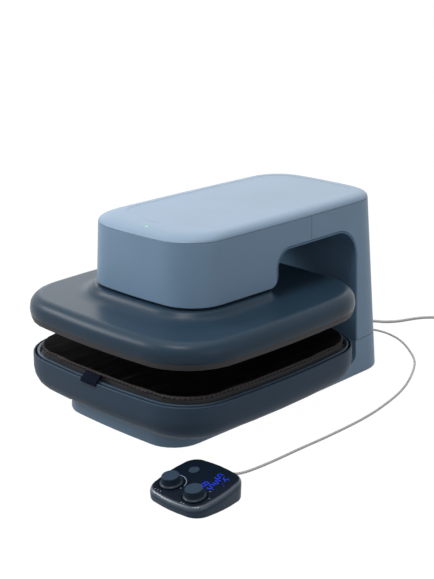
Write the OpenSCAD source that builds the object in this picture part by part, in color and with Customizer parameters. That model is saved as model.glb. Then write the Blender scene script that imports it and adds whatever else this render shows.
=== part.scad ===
// Automatic heat press for crafts: a C-shaped machine with a motor-driven upper
// heat platen, a pull-out lower tray with a press mat, and a corded control pod.
// Millimetres, +Z up, the user stands at -Y. Z = 0 is the table.

/* [Frame] */
// Width of the base on the table
base_w = 254; // [236:1:280]
// Depth of the base on the table
base_d = 494; // [470:1:530]
// Corner radius of the base
base_corner = 50; // [36:1:60]
// Height of the base shell's lower edge above the table
foot_h = 1.5; // [1.5:0.5:4]
// Height of the plinth top that carries the rails
plinth_top = 24; // [22:1:28]
// Height of the joint between base and column
column_joint = 60; // [54:1:80]
// Height of the joint between arm and lid
lid_joint = 283; // [276:1:310]
// Width of the arm at the lid joint
lid_w = 231; // [220:1:240]
// Distance of the lid's back edge behind the centre
lid_back = 234; // [228:1:240]
// Corner radius of the arm at the lid joint
lid_corner = 63; // [50:1:70]
// Rise of the lid above its joint
lid_rise = 9; // [8:0.5:16]
// Wall of the moulded shells
shell_wall = 3; // [2:0.2:4]
// Visible joint line between two shells
joint_gap = 0.4; // [0.2:0.1:0.8]

/* [Arm] */
// Distance of the head's front face in front of the centre
head_front = 201; // [190:1:215]
// Height of the head's lower edge
head_bottom = 192; // [188:1:198]
// Rounding of the head's lower back corner
heel_r = 17; // [6:1:22]
// Distance of the head's back face in front of the centre
arch_front = 24; // [16:1:30]
// Distance of the column's front face behind the centre
arch_back = 160; // [152:1:166]
// Height of the arch
arch_top = 243; // [240:1:248]
// Radius of the arch at the column
arch_r_back = 44; // [24:1:48]
// Radius of the arch at the head
arch_r_front = 26; // [16:1:36]
// Distance of the joint between head shell and column shell behind the centre
arm_joint = 52; // [40:1:70]

/* [Platen] */
// Distance of the pressing centre in front of the centre
press_y = 80; // [76:1:84]
// Width of the upper platen
platen_w = 395; // [380:1:410]
// Depth of the upper platen
platen_d = 416; // [400:1:430]
// Corner radius of the upper platen
platen_corner = 94; // [70:1:110]
// Bow of the platen's sides
platen_bow = 4; // [0:0.5:6]
// Height of the platen's lower edge when it is up
platen_low = 138; // [136:0.5:142]
// Thickness of the platen's rounded edge
platen_h = 37; // [34:1:38]
// Height of the grey skirt at the platen's lower edge
lip_h = 9; // [7:0.5:12]
// Wall of the platen cover
cover_wall = 2.8; // [2:0.2:4]
// Width of the rim around the heat plate
heat_margin = 17; // [14:0.5:24]
// Thickness of the heat plate
heat_t = 12; // [10:0.5:13]
// How far the heat plate stands below the skirt
heat_drop = 2; // [1:0.5:4]
// Diameter of the tubular heating element
element_d = 7; // [6:0.5:8]

/* [Tray] */
// Width of the tray
tray_w = 384; // [370:1:400]
// Depth of the tray
tray_d = 409; // [395:1:425]
// Corner radius of the tray
tray_corner = 80; // [60:1:100]
// Bow of the tray's sides
tray_bow = 5; // [0:0.5:7]
// Height of the tray's rim
tray_rim = 86; // [84:0.5:90]
// Height of the tray's underside
tray_bottom = 28; // [26:0.5:30]
// Radius of the tray's rounded underside
tray_round = 36; // [28:1:44]
// Wall of the tray
tray_wall = 3; // [2:0.2:4]
// Width of the dark groove inside the rim
groove_w = 2.6; // [2:0.2:4]
// Width of the ring between groove and mat
ring_w = 5; // [4:0.5:7]
// Height of the mat's top
mat_top = 97; // [95:0.5:99]
// Thickness of the mat
mat_t = 6.5; // [5:0.5:9]
// Width of the sewn tab on the mat
tab_w = 32; // [20:1:50]
// How far the tray pulls out
tray_travel = 200; // [120:5:220]

/* [Drive] */
// Diameter of the lead screw
screw_d = 16; // [12:1:20]
// Diameter of the guide rods
rod_d = 12; // [10:1:16]
// Distance between the guide rods
rod_span = 106; // [100:1:112]
// Tooth module of the gears
gear_module = 1.25; // [1:0.05:1.3]
// Teeth of the drive gear
gear_teeth = 48; // [44:1:52]
// Teeth of the motor pinion
pinion_teeth = 16; // [14:1:18]
// Width of the gear teeth
gear_t = 10; // [8:0.5:10.5]
// Running clearance of shafts in their bores
run_clear = 0.08; // [0.02:0.01:0.1]
// Clearance of sliding guides and covers
slide_clear = 0.4; // [0.3:0.05:0.6]

/* [Pod] */
// Width of the control pod
pod_w = 102; // [92:1:112]
// Depth of the control pod
pod_d = 98; // [90:1:108]
// Corner radius of the control pod
pod_corner = 23; // [18:1:30]
// Bow of the pod's sides
pod_bow = 2; // [0:0.5:3]
// Height of the middle of the pod's sloping top face
pod_h = 22.4; // [21:0.2:26]
// Slope of the pod's top face toward the user, in degrees
pod_tilt = 8.5; // [4:0.5:9]
// How far the pod's joint line lies below its top face
pod_seam = 6.5; // [6:0.5:7.5]
// Wall of the pod
pod_wall = 2; // [1.6:0.1:2.6]
// Diameter of a knob at its skirt
knob_d = 31; // [26:0.5:34]
// Height of a knob above the pod
knob_h = 12; // [8:0.5:16]
// Diameter of the power button
button_d = 14.5; // [12:0.5:18]
// Travel of the power button
button_travel = 1; // [0.6:0.1:1.4]

/* [Cords] */
// Diameter of the mains cord
mains_d = 5; // [4:0.1:7]
// Diameter of the pod's cord
pod_cord_d = 3.6; // [3:0.1:4.5]
// Loops in the tied coil of mains cord
coil_loops = 6; // [4:2:8]

/* [Hidden] */
$fn = 48;
// steps along a straight side and around a corner of an outline
ns = 4;
nc = 8;
// drafts of the C-frame
side_draft = (base_w - lid_w) / 2 / lid_joint;
back_draft = (base_d / 2 - lid_back) / lid_joint;
frame_bow = 2;
lid_top = lid_joint + lid_rise;
lid_edge = 20;
lid_front = 2.1;
panel_side = 22;
panel_front = 45;
panel_back = 24;
panel_depth = 0.5;
led_d = 4;
led_x = 6;
led_y = -head_front + 23;
led_z = lid_joint + joint_gap
    + (lid_rise - joint_gap) * sin(acos(1 - (led_y + head_front) / lid_front / lid_edge));
// the opening for the rear cover
window_half = 62;
window_z0 = 78;
window_z1 = 206;
cover_flange = 2;
// the control board and the power supply on its shelf
control_len = 110;
supply_z = 86;
supply_w = 100;
supply_d = 30;
supply_h = 46;
// heights in the platen stack
heat_face = platen_low - heat_drop;
heat_top = heat_face + heat_t;
platen_top = platen_low + platen_h;
platen_mid = platen_low + platen_h / 2;
edge_r = 20;
carrier_t = 5;
carrier_top = platen_top - cover_wall;
carrier_bottom = carrier_top - carrier_t;
// runs of the heating element, and the standoffs beside them
run_n = 6;
run_pitch = 50;
run_half = 130;
standoff_d = 12;
standoff_x = run_pitch * (run_n - 1) / 2 + 18;
standoff_y = 100;
standoff_at = [for (x = [-1, 1], y = [-1, 0, 1]) [x * standoff_x, y * standoff_y]];
mat_clear = 0.5;
press_travel = heat_face - mat_top - mat_clear;
neck_clear = 3;
neck_top = head_bottom + press_travel + neck_clear;
neck_w = frame_w(neck_top) - 2 * shell_wall - 2 * neck_clear;
neck_front = -head_front + shell_wall + neck_clear;
neck_back = -arch_front - shell_wall - neck_clear;
neck_r_front = lid_corner - shell_wall - neck_clear;
neck_r_back = 20;
// rounded shoulder round the neck: how far out, and its share of the height
shoulder = [[40, 0], [31, 0.05], [23, 0.19], [17.5, 0.44], [14.2, 0.72], [12.4, 0.88], [10.4, 0.97], [8, 1],
    [0, 1]];
// the drive; the two-start screw moves the platen by this much for one turn
screw_lead = 8;
gear_r = gear_module * gear_teeth / 2;
pinion_r = gear_module * pinion_teeth / 2;
motor_y = -press_y - gear_r - pinion_r;
motor_d = 42;
motor_boss_hole = 14;
screw_flange_w = 11;
screw_flange_t = 5;
motor_shaft_d = 6;
plate_t = 6;
press_plate_front = 80;
press_plate_back = 32;
drive_plate_z = head_bottom + 22;
gear_axial = 1;
gear_z = drive_plate_z - gear_axial - gear_t;
case_wall = 3;
case_floor_t = 5;
case_z = gear_z - gear_axial - case_floor_t;
hub_d = screw_d + 6;
bearing_d = hub_d + 10;
bush_d = rod_d + 8;
bush_rim = 3;
bush_clear = 2;
rod_flange_w = 7;
rod_flange_t = 4;
bush_z0 = drive_plate_z - 14;
bush_z1 = drive_plate_z + plate_t + 10;
rod_top = lid_joint + 1;
// the steel C-frame
side_plate_t = 4;
side_plate_x = rod_span / 2 + bush_d / 2 + bush_rim + bush_clear;
beam_z0 = arch_top + shell_wall + 4;
beam_z1 = lid_joint - 11;
column_y0 = arch_back + shell_wall + 6;
column_y1 = lid_back - 12;
chassis_z = 8;
chassis_t = 3;
chassis_side = 20;
chassis_end = 28;
chassis_angle = 44;
chassis_top = chassis_z + chassis_t;
plate_z = foot_h + 0.3;
plate_bottom_t = 2;
foot_d = 24;
foot_post_d = 16;
tab_len = 30;
tab_at = [-press_y - 55, -press_y + 8];
spacer_at = [[-press_y - 74, beam_z1 - 12], [60, (beam_z0 + beam_z1) / 2], [column_y1 - 14, beam_z1 - 12],
    [column_y1 - 12, 152], [column_y1 - 12, 66]];
// the rails under the tray
rail_x = base_w / 2 - 42;
rail_w = 26;
rail_h = 10;
board_post_x = rail_x + 15;
board_post_y = 110;
board_post_d = 16;
recess_half = rail_x + rail_w / 2 + 6;
recess_top = plinth_top + rail_h + 2;
tray_floor = recess_top + 3;
rail_front = -press_y - tray_d / 2 + 58;
rail_engage = 147;
rail_back = rail_front + tray_travel + rail_engage;
slot_w = 10;
flange_w = 18;
flange_h = 4;
lip_t = 2.2;
// the finger recess in the tray's lower front edge
notch_half = 60;
notch_top = 40;
// the tray's inside
ring_out = tray_wall + groove_w;
ring_in = ring_out + ring_w;
mat_bottom = mat_top - mat_t;
mat_gap = 1.6;
board_t = 4;
ring_h = 4;
ring_rise = 1.2;
board_z = tray_rim - ring_h - board_t;
pad_in = ring_in + 5;
tab_x = -4;
// the pod
pod_x = 232.8;
pod_y = -311.8;
pod_foot_h = 0.8;
knob_at = [[pod_x - 25, pod_y - 18.6], [pod_x + 21, pod_y - 22.8]];
button_at = [pod_x - 21, pod_y + 18.6];
screen_w = 26;
screen_d = 32;
screen_at = [pod_x + 24, pod_y + 14];
pcb_t = 1.6;
pcb_z = -9;
shaft_d = 6;
well_d = 1;
switch_w = 12;
knob_gap = 0.6;
post_d = 6;
post_at = [[-2, -34], [-34, 31], [24, 35], [42, -4]];
// cord routes, each point chosen from the photograph, ends square to their glands
gland_z = 34;
mains_x = -45;
pod_gland_x = 20;
gland_flange = 8;
gland_seat = 0.2;
mains_relief = 26;
pod_relief = 16;
pod_out_z = 8;
mains_y0 = gland_y(mains_x) + mains_relief;
mains_r = mains_d / 2;
tie_t = 0.4;
coil_lift = tie_t + 0.4;
pod_r = pod_cord_d / 2;
mains_points = [
    [mains_x, mains_y0 - 8, gland_z], [mains_x, mains_y0, gland_z], [mains_x, mains_y0 + 6, gland_z],
    [-45, 296, 26], [-44, 314, 14], [-42, 334, 6], [-38, 354, mains_r], [-27, 376, mains_r],
    [-11, 391, mains_r], [6, 402, mains_r], [20, 420, mains_r], [29, 442, mains_r],
    [38, 462, mains_r], [50, 478, mains_r], [66, 491, mains_r], [82, 499, mains_r + coil_lift / 2],
    [98, 503, mains_r + coil_lift], [104, 503, mains_r + coil_lift], [110, 503, mains_r + coil_lift]];
pod_seat_y = pod_y + pod_d / 2 + gland_seat;
pod_cord_y0 = pod_seat_y + pod_relief;
pod_end_y = gland_y(pod_gland_x) + pod_relief;
pod_cord_x0 = pod_x - 4;
pod_points = [
    [pod_cord_x0, pod_cord_y0 - 6, pod_out_z], [pod_cord_x0, pod_cord_y0, pod_out_z],
    [pod_cord_x0, pod_cord_y0 + 5, pod_out_z],
    [231, -232, 5], [232, -216, 2.5], [234, -195, pod_r], [236, -160, pod_r], [237, -110, pod_r],
    [239, -46, pod_r], [238, 24, pod_r], [232, 82, pod_r], [217, 152, pod_r], [194, 212, pod_r],
    [160, 273, pod_r], [121, 313, pod_r], [82, 342, pod_r], [50, 355, pod_r], [28, 357, pod_r],
    [10, 353, pod_r], [-1, 342, pod_r], [-4, 328, 3], [1, 312, 9], [9, 298, 18], [16, 284, 27],
    [pod_gland_x, pod_end_y + 6, gland_z], [pod_gland_x, pod_end_y, gland_z],
    [pod_gland_x, pod_end_y - 6, gland_z]];
// the tied coil: two layers that spiral in and out again
coil_start = mains_points[len(mains_points) - 1];
coil_pitch = mains_d + 1.5;
coil_layer = mains_d + 0.7;
coil_half = coil_loops / 2;
coil_in = 4 * mains_d;
coil_out = coil_in + coil_pitch * coil_half;
coil_lead = mains_d + 3;
coil_c = [coil_start[0] + coil_lead, coil_start[1] + coil_out];
loop_steps = 24;

// outlines and lofts

function frame_w(z) = base_w - 2 * side_draft * z;
function frame_back(z) = base_d / 2 - back_draft * z;
function back_flat(z) = frame_w(z) / 2 - frame_bow - frame_r(z);
function back_wall(x, z) = frame_back(z) - frame_bow * pow(x / back_flat(z), 2);
// seat of a gland's flange on the bowed and leaning back wall
function gland_y(x) = back_wall(max(abs(x) - gland_flange, 0), gland_z - gland_flange) + gland_seat;
function frame_r(z) = base_corner + (lid_corner - base_corner) * z / lid_joint;

// plan outline with bowed sides, counter-clockwise from the middle of the right side
function outline(w, y0, y1, rf, rb, bow) = let(
    xf = w / 2 - bow - rf,
    xb = w / 2 - bow - rb,
    yf = y0 + bow + rf,
    yb = y1 - bow - rb,
    ym = (yf + yb) / 2,
    yh = (yb - yf) / 2
) concat(
    [for (i = [1:ns - 1]) let(t = -1 + 2 * i / ns) [w / 2 - bow * t * t, ym + yh * t]],
    [for (i = [0:nc]) let(a = 90 * i / nc) [xb + rb * cos(a), yb + rb * sin(a)]],
    [for (i = [1:ns - 1]) let(t = 1 - 2 * i / ns) [xb * t, y1 - bow * t * t]],
    [for (i = [0:nc]) let(a = 90 + 90 * i / nc) [-xb + rb * cos(a), yb + rb * sin(a)]],
    [for (i = [1:ns - 1]) let(t = 1 - 2 * i / ns) [-w / 2 + bow * t * t, ym + yh * t]],
    [for (i = [0:nc]) let(a = 180 + 90 * i / nc) [-xf + rf * cos(a), yf + rf * sin(a)]],
    [for (i = [1:ns - 1]) let(t = -1 + 2 * i / ns) [xf * t, y0 + bow * t * t]],
    [for (i = [0:nc]) let(a = 270 + 90 * i / nc) [xf + rf * cos(a), yf + rf * sin(a)]]);

function at_height(pts, z) = [for (p = pts) [p[0], p[1], z]];
function shifted(pts, x, y) = [for (p = pts) [p[0] + x, p[1] + y]];

// rings of the three main outlines, inset by e at height z
function frame_ring(z, front, e) = at_height(
    outline(frame_w(z) - 2 * e, front + e, frame_back(z) - e, frame_r(z) - e, frame_r(z) - e, frame_bow), z);
function platen_ring(e, z) = at_height(platen_plan(e), z);
function platen_plan(e) = outline(platen_w - 2 * e, -press_y - platen_d / 2 + e,
    -press_y + platen_d / 2 - e, platen_corner - e, platen_corner - e, platen_bow);
function tray_ring_at(e, z) = at_height(tray_plan(e), z);
function tray_plan(e) = outline(tray_w - 2 * e, -press_y - tray_d / 2 + e,
    -press_y + tray_d / 2 - e, tray_corner - e, tray_corner - e, tray_bow);
function neck_ring(e, z) = at_height(outline(neck_w - 2 * e, neck_front + e, neck_back - max(e, e / 2),
    neck_r_front - e, neck_r_back - min(e, 12), 0.5), z);
function pod_plan(e) = shifted(outline(pod_w - 2 * e, -pod_d / 2 + e, pod_d / 2 - e,
    pod_corner - e, pod_corner - e, pod_bow), pod_x, pod_y);
function pod_ring(e, z) = at_height(pod_plan(e), z);
// height of the pod's top face, and a ring parallel to that face
function pod_face(y) = pod_h + tan(pod_tilt) * (y - pod_y);
function pod_slant(e, z) = [for (p = pod_plan(e)) [p[0], p[1], pod_face(p[1]) + z]];

// skin through a list of rings; capped at both ends, or closed into itself
module loft(rings, closed = false) {
    n = len(rings[0]);
    m = len(rings);
    sides = [for (j = [0:(closed ? m : m - 1) - 1]) for (i = [0:n - 1])
        let(a = j * n + i, b = j * n + (i + 1) % n, k = ((j + 1) % m) * n)
        each [[a, k + i, k + (i + 1) % n], [a, k + (i + 1) % n, b]]];
    caps = closed ? [] : [[for (i = [0:n - 1]) i], [for (i = [n - 1:-1:0]) (m - 1) * n + i]];
    polyhedron(points = [for (r = rings) each r], faces = concat(sides, caps));
}

// the C-frame's outer skin between two heights
module frame_body(z0, z1, front, e) {
    loft([frame_ring(z0, front, e), frame_ring(z1, front, e)]);
}

// extrudes a side view, drawn as (y, z), across the machine
module across(width) {
    rotate([90, 0, 90])
        linear_extrude(width, center = true)
            children();
}

// side view of the open arch and of everything in front of the column and below the head
module arch_side(g) {
    zc = arch_top + g;
    rb = arch_r_back + g;
    rf = arch_r_front + g;
    translate([-400, -20])
        square([400 + arch_back + g, 20 + head_bottom]);
    translate([-arch_front - g, -20])
        square([arch_front + arch_back + 2 * g, 20 + zc - rb]);
    translate([-arch_front - g, zc - rb - 1])
        square([arch_front + arch_back + 2 * g - rb, rb + 1 - rf]);
    translate([-arch_front - g + rf, -20])
        square([arch_front + arch_back + 2 * g - rf - rb, 20 + zc]);
    translate([arch_back + g - rb, zc - rb])
        circle(rb);
    translate([-arch_front - g + rf, zc - rf])
        circle(rf);
}

// side view of what is cut away above the plinth
module plinth_side(g) {
    r = 14;
    translate([-400, plinth_top - g])
        square([400 + arch_back + g - r, 400]);
    translate([-400, plinth_top - g + r])
        square([400 + arch_back + g, 400]);
    translate([arch_back + g - r, plinth_top - g + r])
        circle(r);
}

// base

module base_shell() {
    color("lightsteelblue")
        difference() {
            loft([frame_ring(foot_h, -base_d / 2, 2.5), frame_ring(foot_h + 1.2, -base_d / 2, 0.8),
                frame_ring(foot_h + 3, -base_d / 2, 0), frame_ring(column_joint, -base_d / 2, 0)]);
            across(2 * base_w)
                plinth_side(0);
            difference() {
                frame_body(0, column_joint + 1, -base_d / 2, shell_wall);
                across(2 * base_w)
                    plinth_side(shell_wall);
                for (x = [-1, 1], y = [rail_front + 30, 0, rail_back - 30])
                    translate([x * rail_x, y, chassis_top])
                        cylinder(d = 10, h = plinth_top - chassis_top);
            }
            translate([mains_x, 0, gland_z])
                rotate([-90, 0, 0])
                    cylinder(d = gland_hole(mains_d), h = base_d);
            translate([pod_gland_x, 0, gland_z])
                rotate([-90, 0, 0])
                    cylinder(d = gland_hole(pod_cord_d), h = base_d);
        }
}

function gland_hole(d) = d + 5;

module base_plate() {
    color("dimgray")
        difference() {
            translate([0, 0, plate_z])
                linear_extrude(plate_bottom_t)
                    polygon(outline(base_w - 2 * shell_wall - 1, -base_d / 2 + shell_wall + 0.5,
                        base_d / 2 - shell_wall - 0.5, base_corner - shell_wall, base_corner - shell_wall,
                        frame_bow));
            feet_at()
                cylinder(d = 6, h = 20);
            for (y = [-130, -106, -82, -58, 58, 82, 106, 130])
                translate([0, y, 0])
                    linear_extrude(20)
                        square([60, 5], center = true);
        }
}

// a foot in each corner and one in the middle
module feet_at() {
    children();
    for (x = [-1, 1], y = [-1, 1])
        translate([x * (base_w / 2 - 34), y * (base_d / 2 - 42), 0])
            children();
}

module rubber_feet() {
    color("black")
        feet_at() {
            cylinder(d = foot_d, h = plate_z);
            cylinder(d = 6, h = plate_z + plate_bottom_t);
        }
}

module base_chassis() {
    w = 2 * (rail_x + chassis_side);
    color("silver")
        difference() {
            union() {
                translate([-w / 2, -base_d / 2 + chassis_end, chassis_z])
                    cube([w, base_d - 2 * chassis_end, chassis_t]);
                feet_at()
                    translate([0, 0, plate_z + plate_bottom_t])
                        cylinder(d = foot_post_d, h = chassis_z + 1 - plate_z - plate_bottom_t);
                for (x = [-1, 1])
                    translate([x * (side_plate_x + side_plate_t + 1.5) - 1.5, column_y0, chassis_z])
                        cube([3, column_y1 - column_y0, chassis_angle]);
            }
            for (y = [-160, -80, 80])
                translate([0, y, chassis_z - 1])
                    cylinder(d = 54, h = chassis_t + 2);
        }
}

// side rails, a plain sliding section without the balls
module rail_side() {
    difference() {
        translate([-rail_w / 2, 0])
            square([rail_w, rail_h]);
        translate([-flange_w / 2, rail_h - lip_t - flange_h])
            square([flange_w, flange_h]);
        translate([-slot_w / 2, rail_h - lip_t - 1])
            square([slot_w, lip_t + 2]);
    }
}

module runner_side() {
    c = slide_clear;
    translate([-flange_w / 2 + c, rail_h - lip_t - flange_h + c])
        square([flange_w - 2 * c, flange_h - 2 * c]);
    translate([-slot_w / 2 + c, rail_h - lip_t - flange_h + c])
        square([slot_w - 2 * c, recess_top - plinth_top - rail_h + lip_t + flange_h - c]);
}

module along_rail(y0, y1) {
    for (x = [-1, 1])
        translate([x * rail_x, y1, plinth_top])
            rotate([90, 0, 0])
                linear_extrude(y1 - y0)
                    children();
}

module fixed_rails() {
    color("gainsboro")
        along_rail(rail_front, rail_back)
            rail_side();
}

module tray_runners() {
    color("darkgray")
        along_rail(rail_front + 4, rail_back - 4)
            runner_side();
}

// arm and column

module arm_skin(e) {
    frame_body(column_joint - (e > 0 ? 1 : 0), lid_joint + (e > 0 ? 1 : 0), -head_front, e);
}

module arm_walls() {
    difference() {
        arm_skin(0);
        arm_skin(shell_wall);
        across(2 * base_w)
            arch_side(shell_wall + joint_gap);
    }
}

module head_shell() {
    color("lightsteelblue")
        difference() {
            intersection() {
                union() {
                    arm_walls();
                    head_bosses();
                }
                translate([-200, -400, head_bottom])
                    cube([400, 400 + arm_joint - joint_gap / 2, 200]);
            }
            across(2 * base_w)
                head_heel();
        }
}

// side view of what the rounding takes off the head's lower back corner
module head_heel() {
    y = -arch_front - heel_r;
    difference() {
        translate([y, head_bottom - 1])
            square([heel_r + 1, heel_r + 1]);
        translate([y, head_bottom + heel_r])
            circle(heel_r);
    }
}

// posts that tie the head shell to the steel side plates
module head_bosses() {
    x0 = side_plate_x + side_plate_t;
    z = beam_z0 + 12;
    for (x = [-1, 1])
        translate([x * x0, -120, z])
            rotate([0, x * 90, 0])
                cylinder(d = 10, h = frame_w(z) / 2 - shell_wall - frame_bow + 1 - x0);
}

module column_shell() {
    color("lightsteelblue")
        difference() {
            intersection() {
                arm_walls();
                translate([-200, arm_joint + joint_gap / 2, column_joint + joint_gap])
                    cube([400, 400, 400]);
            }
            rear_window(0);
        }
}

// opening for the rear cover
module rear_window(g) {
    translate([-window_half - g, arch_back + 40, window_z0 - g])
        cube([2 * (window_half + g), 100, window_z1 - window_z0 + 2 * g]);
}

module rear_cover() {
    color("slategray")
        difference() {
            union() {
                intersection() {
                    rear_layer(0, shell_wall + cover_flange);
                    rear_window(-joint_gap);
                }
                intersection() {
                    rear_layer(shell_wall, shell_wall + cover_flange);
                    rear_window(4);
                }
            }
            for (z = [window_z0 + 24:9:window_z1 - 30])
                translate([-36, arch_back + 40, z])
                    cube([72, 100, 3.5]);
            for (x = [-1, 1], z = [window_z0 + 9, window_z1 - 9])
                translate([x * (window_half - 9), arch_back + 40, z])
                    rotate([-90, 0, 0])
                        cylinder(d = 3.4, h = 100);
        }
}

// the part of the C-frame's wall between two depths
module rear_layer(e0, e1) {
    difference() {
        frame_body(column_joint, lid_joint, -head_front, e0);
        frame_body(column_joint - 1, lid_joint + 1, -head_front, e1);
    }
}

// separate lining of the arch: the column's front, the arch's top and the head's back
module arch_liner() {
    color("steelblue")
        intersection() {
            arm_skin(0);
            across(2 * base_w)
                difference() {
                    arch_side(shell_wall);
                    arch_side(0);
                    head_heel();
                    translate([-400, -20])
                        square([400 - arch_front - shell_wall, 400]);
                    translate([-400, -20])
                        square([800, 20 + column_joint + joint_gap]);
                }
        }
}

module top_lid() {
    z = lid_joint + joint_gap;
    r = lid_rise - joint_gap;
    color("lightsteelblue")
        difference() {
            loft([for (a = [0:18:90]) lid_ring(lid_edge * (1 - cos(a)), z + r * sin(a))]);
            loft([lid_ring(shell_wall, z - 1), lid_ring(shell_wall, z), lid_ring(7, z + 0.35 * r),
                lid_ring(lid_edge - 2, z + r - shell_wall)]);
            loft([panel_ring(0.8, lid_top - panel_depth), panel_ring(-0.8, lid_top + panel_depth)]);
            translate([led_x, led_y, z])
                cylinder(d = led_d + 0.2, h = 2 * lid_rise);
        }
}

// outline of the shallow panel in the lid's top
function panel_ring(e, z) = at_height(outline(lid_w - 2 * panel_side - 2 * e, -head_front + panel_front + e,
    lid_back - panel_back - e, lid_corner - 16 - e, lid_corner - 16 - e, frame_bow), z);
// outline of the lid; its crown is wider at the front
function lid_ring(e, z) = at_height(outline(lid_w - 2 * e, -head_front + lid_front * e, lid_back - e,
    lid_corner - e, lid_corner - e, frame_bow), z);

module status_led() {
    color("lightgreen")
        translate([led_x, led_y, led_z - 10])
            union() {
                cylinder(d = led_d, h = 10.1);
                cylinder(d = led_d + 4, h = 5.2);
            }
}

// steel C-frame inside the shells

module frame_plate_side() {
    difference() {
        union() {
            translate([-press_y - 84, drive_plate_z - 10])
                square([120, beam_z1 - drive_plate_z + 10]);
            translate([-press_y, beam_z0])
                square([column_y1 + press_y, beam_z1 - beam_z0]);
            translate([column_y0, chassis_top])
                square([column_y1 - column_y0, beam_z1 - chassis_top]);
        }
        for (y = tab_at)
            translate([y - tab_len / 2 - 0.1, drive_plate_z - 0.1])
                square([tab_len + 0.2, plate_t + 0.2]);
        for (z = [80:45:240])
            translate([(column_y0 + column_y1) / 2 - 8, z + 22])
                circle(9);
    }
}

module frame_plates() {
    color("silver")
        for (x = [-1, 1])
            translate([x * (side_plate_x + side_plate_t / 2), 0, 0])
                across(side_plate_t)
                    frame_plate_side();
}

module frame_spacers() {
    color("gray")
        for (p = spacer_at)
            translate([-side_plate_x, p[0], p[1]])
                rotate([0, 90, 0])
                    difference() {
                        cylinder(d = 14, h = 2 * side_plate_x);
                        translate([0, 0, -1])
                            cylinder(d = 6, h = 2 * side_plate_x + 2);
                    }
}

module press_plate() {
    color("gainsboro")
        difference() {
            union() {
                translate([-side_plate_x, -press_y - press_plate_front, drive_plate_z])
                    cube([2 * side_plate_x, press_plate_front + press_plate_back, plate_t]);
                for (y = tab_at)
                    translate([-side_plate_x - side_plate_t, y - tab_len / 2, drive_plate_z])
                        cube([2 * (side_plate_x + side_plate_t), tab_len, plate_t]);
            }
            translate([0, -press_y, drive_plate_z - 1])
                cylinder(d = bearing_d, h = plate_t + 2);
            for (x = [-1, 1])
                translate([x * rod_span / 2, -press_y, drive_plate_z - 1])
                    cylinder(d = bush_d, h = plate_t + 2);
            translate([0, motor_y, drive_plate_z - 1])
                cylinder(d = motor_boss_hole, h = plate_t + 2);
        }
}

module guide_bushes() {
    color("goldenrod")
        for (x = [-1, 1])
            translate([x * rod_span / 2, -press_y, 0])
                difference() {
                    union() {
                        translate([0, 0, bush_z0])
                            cylinder(d = bush_d, h = bush_z1 - bush_z0);
                        translate([0, 0, drive_plate_z + plate_t])
                            cylinder(d = bush_d + 2 * bush_rim, h = bush_rim);
                    }
                    translate([0, 0, bush_z0 - 1])
                        cylinder(d = rod_d + 2 * run_clear, h = bush_z1 - bush_z0 + 2);
                }
}

// housing under the drive plate that holds the gears
module gear_case() {
    ro = gear_r + gear_module + 2 + case_wall;
    rp = pinion_r + gear_module + 2 + case_wall;
    color("dimgray")
        difference() {
            union() {
                gear_case_body(ro, rp, case_z, drive_plate_z - case_z);
            }
            gear_case_body(ro - case_wall, rp - case_wall, case_z + case_floor_t, 60);
            translate([0, -press_y, case_z - 1])
                cylinder(d = bearing_d, h = case_floor_t + 2);
        }
}

module gear_case_body(ro, rp, z, h) {
    translate([0, -press_y, z])
        cylinder(r = ro, h = h);
    translate([0, motor_y, z])
        cylinder(r = rp, h = h);
    translate([-rp, motor_y, z])
        cube([2 * rp, -press_y - motor_y, h]);
}

module nut_bearings() {
    color("peru")
        for (b = [[case_z, case_floor_t], [drive_plate_z, plate_t]])
            translate([0, -press_y, b[0]])
                difference() {
                    cylinder(d = bearing_d, h = b[1]);
                    translate([0, 0, -1])
                        cylinder(d = hub_d + 2 * run_clear, h = b[1] + 2);
                }
}

module press_motor() {
    top = min(lid_joint - 8, drive_plate_z + plate_t + 48);
    color("dimgray")
        translate([0, motor_y, drive_plate_z + plate_t])
            difference() {
                union() {
                    cylinder(d = motor_d, h = top - drive_plate_z - plate_t);
                    translate([-28, -8, 0])
                        cube([56, 16, 3]);
                }
                translate([0, 0, -1])
                    cylinder(d = motor_shaft_d + 2 * run_clear, h = 17);
            }
}

// involute tooth outline, thinned a little for backlash
function inv(a) = tan(a) * 180 / PI - a;
function gear_tooth(n, k) = let(
    r = gear_module * n / 2,
    rb = r * cos(20),
    ra = r + gear_module * 0.95,
    rf = r - gear_module * 1.25,
    half = 90 / n - 0.06 * 180 / PI / r + inv(20),
    r0 = max(rb, rf) + 0.01,
    rs = [for (i = [0:4]) r0 + (ra - r0) * i / 4],
    up = [for (q = rs) [q, half - inv(acos(rb / q))]]
) concat(
    [[rf, -up[0][1]]],
    [for (i = [0:4]) [up[i][0], -up[i][1]]],
    [for (i = [4:-1:0]) up[i]],
    [[rf, up[0][1]]]);
function gear_points(n, turn) = [for (k = [0:n - 1]) for (p = gear_tooth(n, k))
    let(a = 360 * k / n + p[1] + turn) [p[0] * cos(a), p[0] * sin(a)]];

module drive_gear() {
    color("khaki")
        translate([0, -press_y, 0])
            difference() {
                union() {
                    translate([0, 0, gear_z])
                        linear_extrude(gear_t)
                            polygon(gear_points(gear_teeth, -90));
                    translate([0, 0, case_z])
                        cylinder(d = hub_d, h = drive_plate_z + plate_t - case_z);
                    translate([0, 0, gear_z - gear_axial + 0.3])
                        cylinder(d = hub_d + 5, h = gear_t + 2 * gear_axial - 0.6);
                }
                translate([0, 0, case_z - 1])
                    cylinder(d = screw_d + 2 * run_clear, h = 80);
            }
}

module motor_pinion() {
    color("gold")
        translate([0, motor_y, 0])
            union() {
                translate([0, 0, gear_z])
                    linear_extrude(gear_t)
                        polygon(gear_points(pinion_teeth, 90 + 180 / pinion_teeth));
                translate([0, 0, gear_z])
                    cylinder(d = motor_shaft_d, h = drive_plate_z + plate_t + 14 - gear_z);
            }
}

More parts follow.
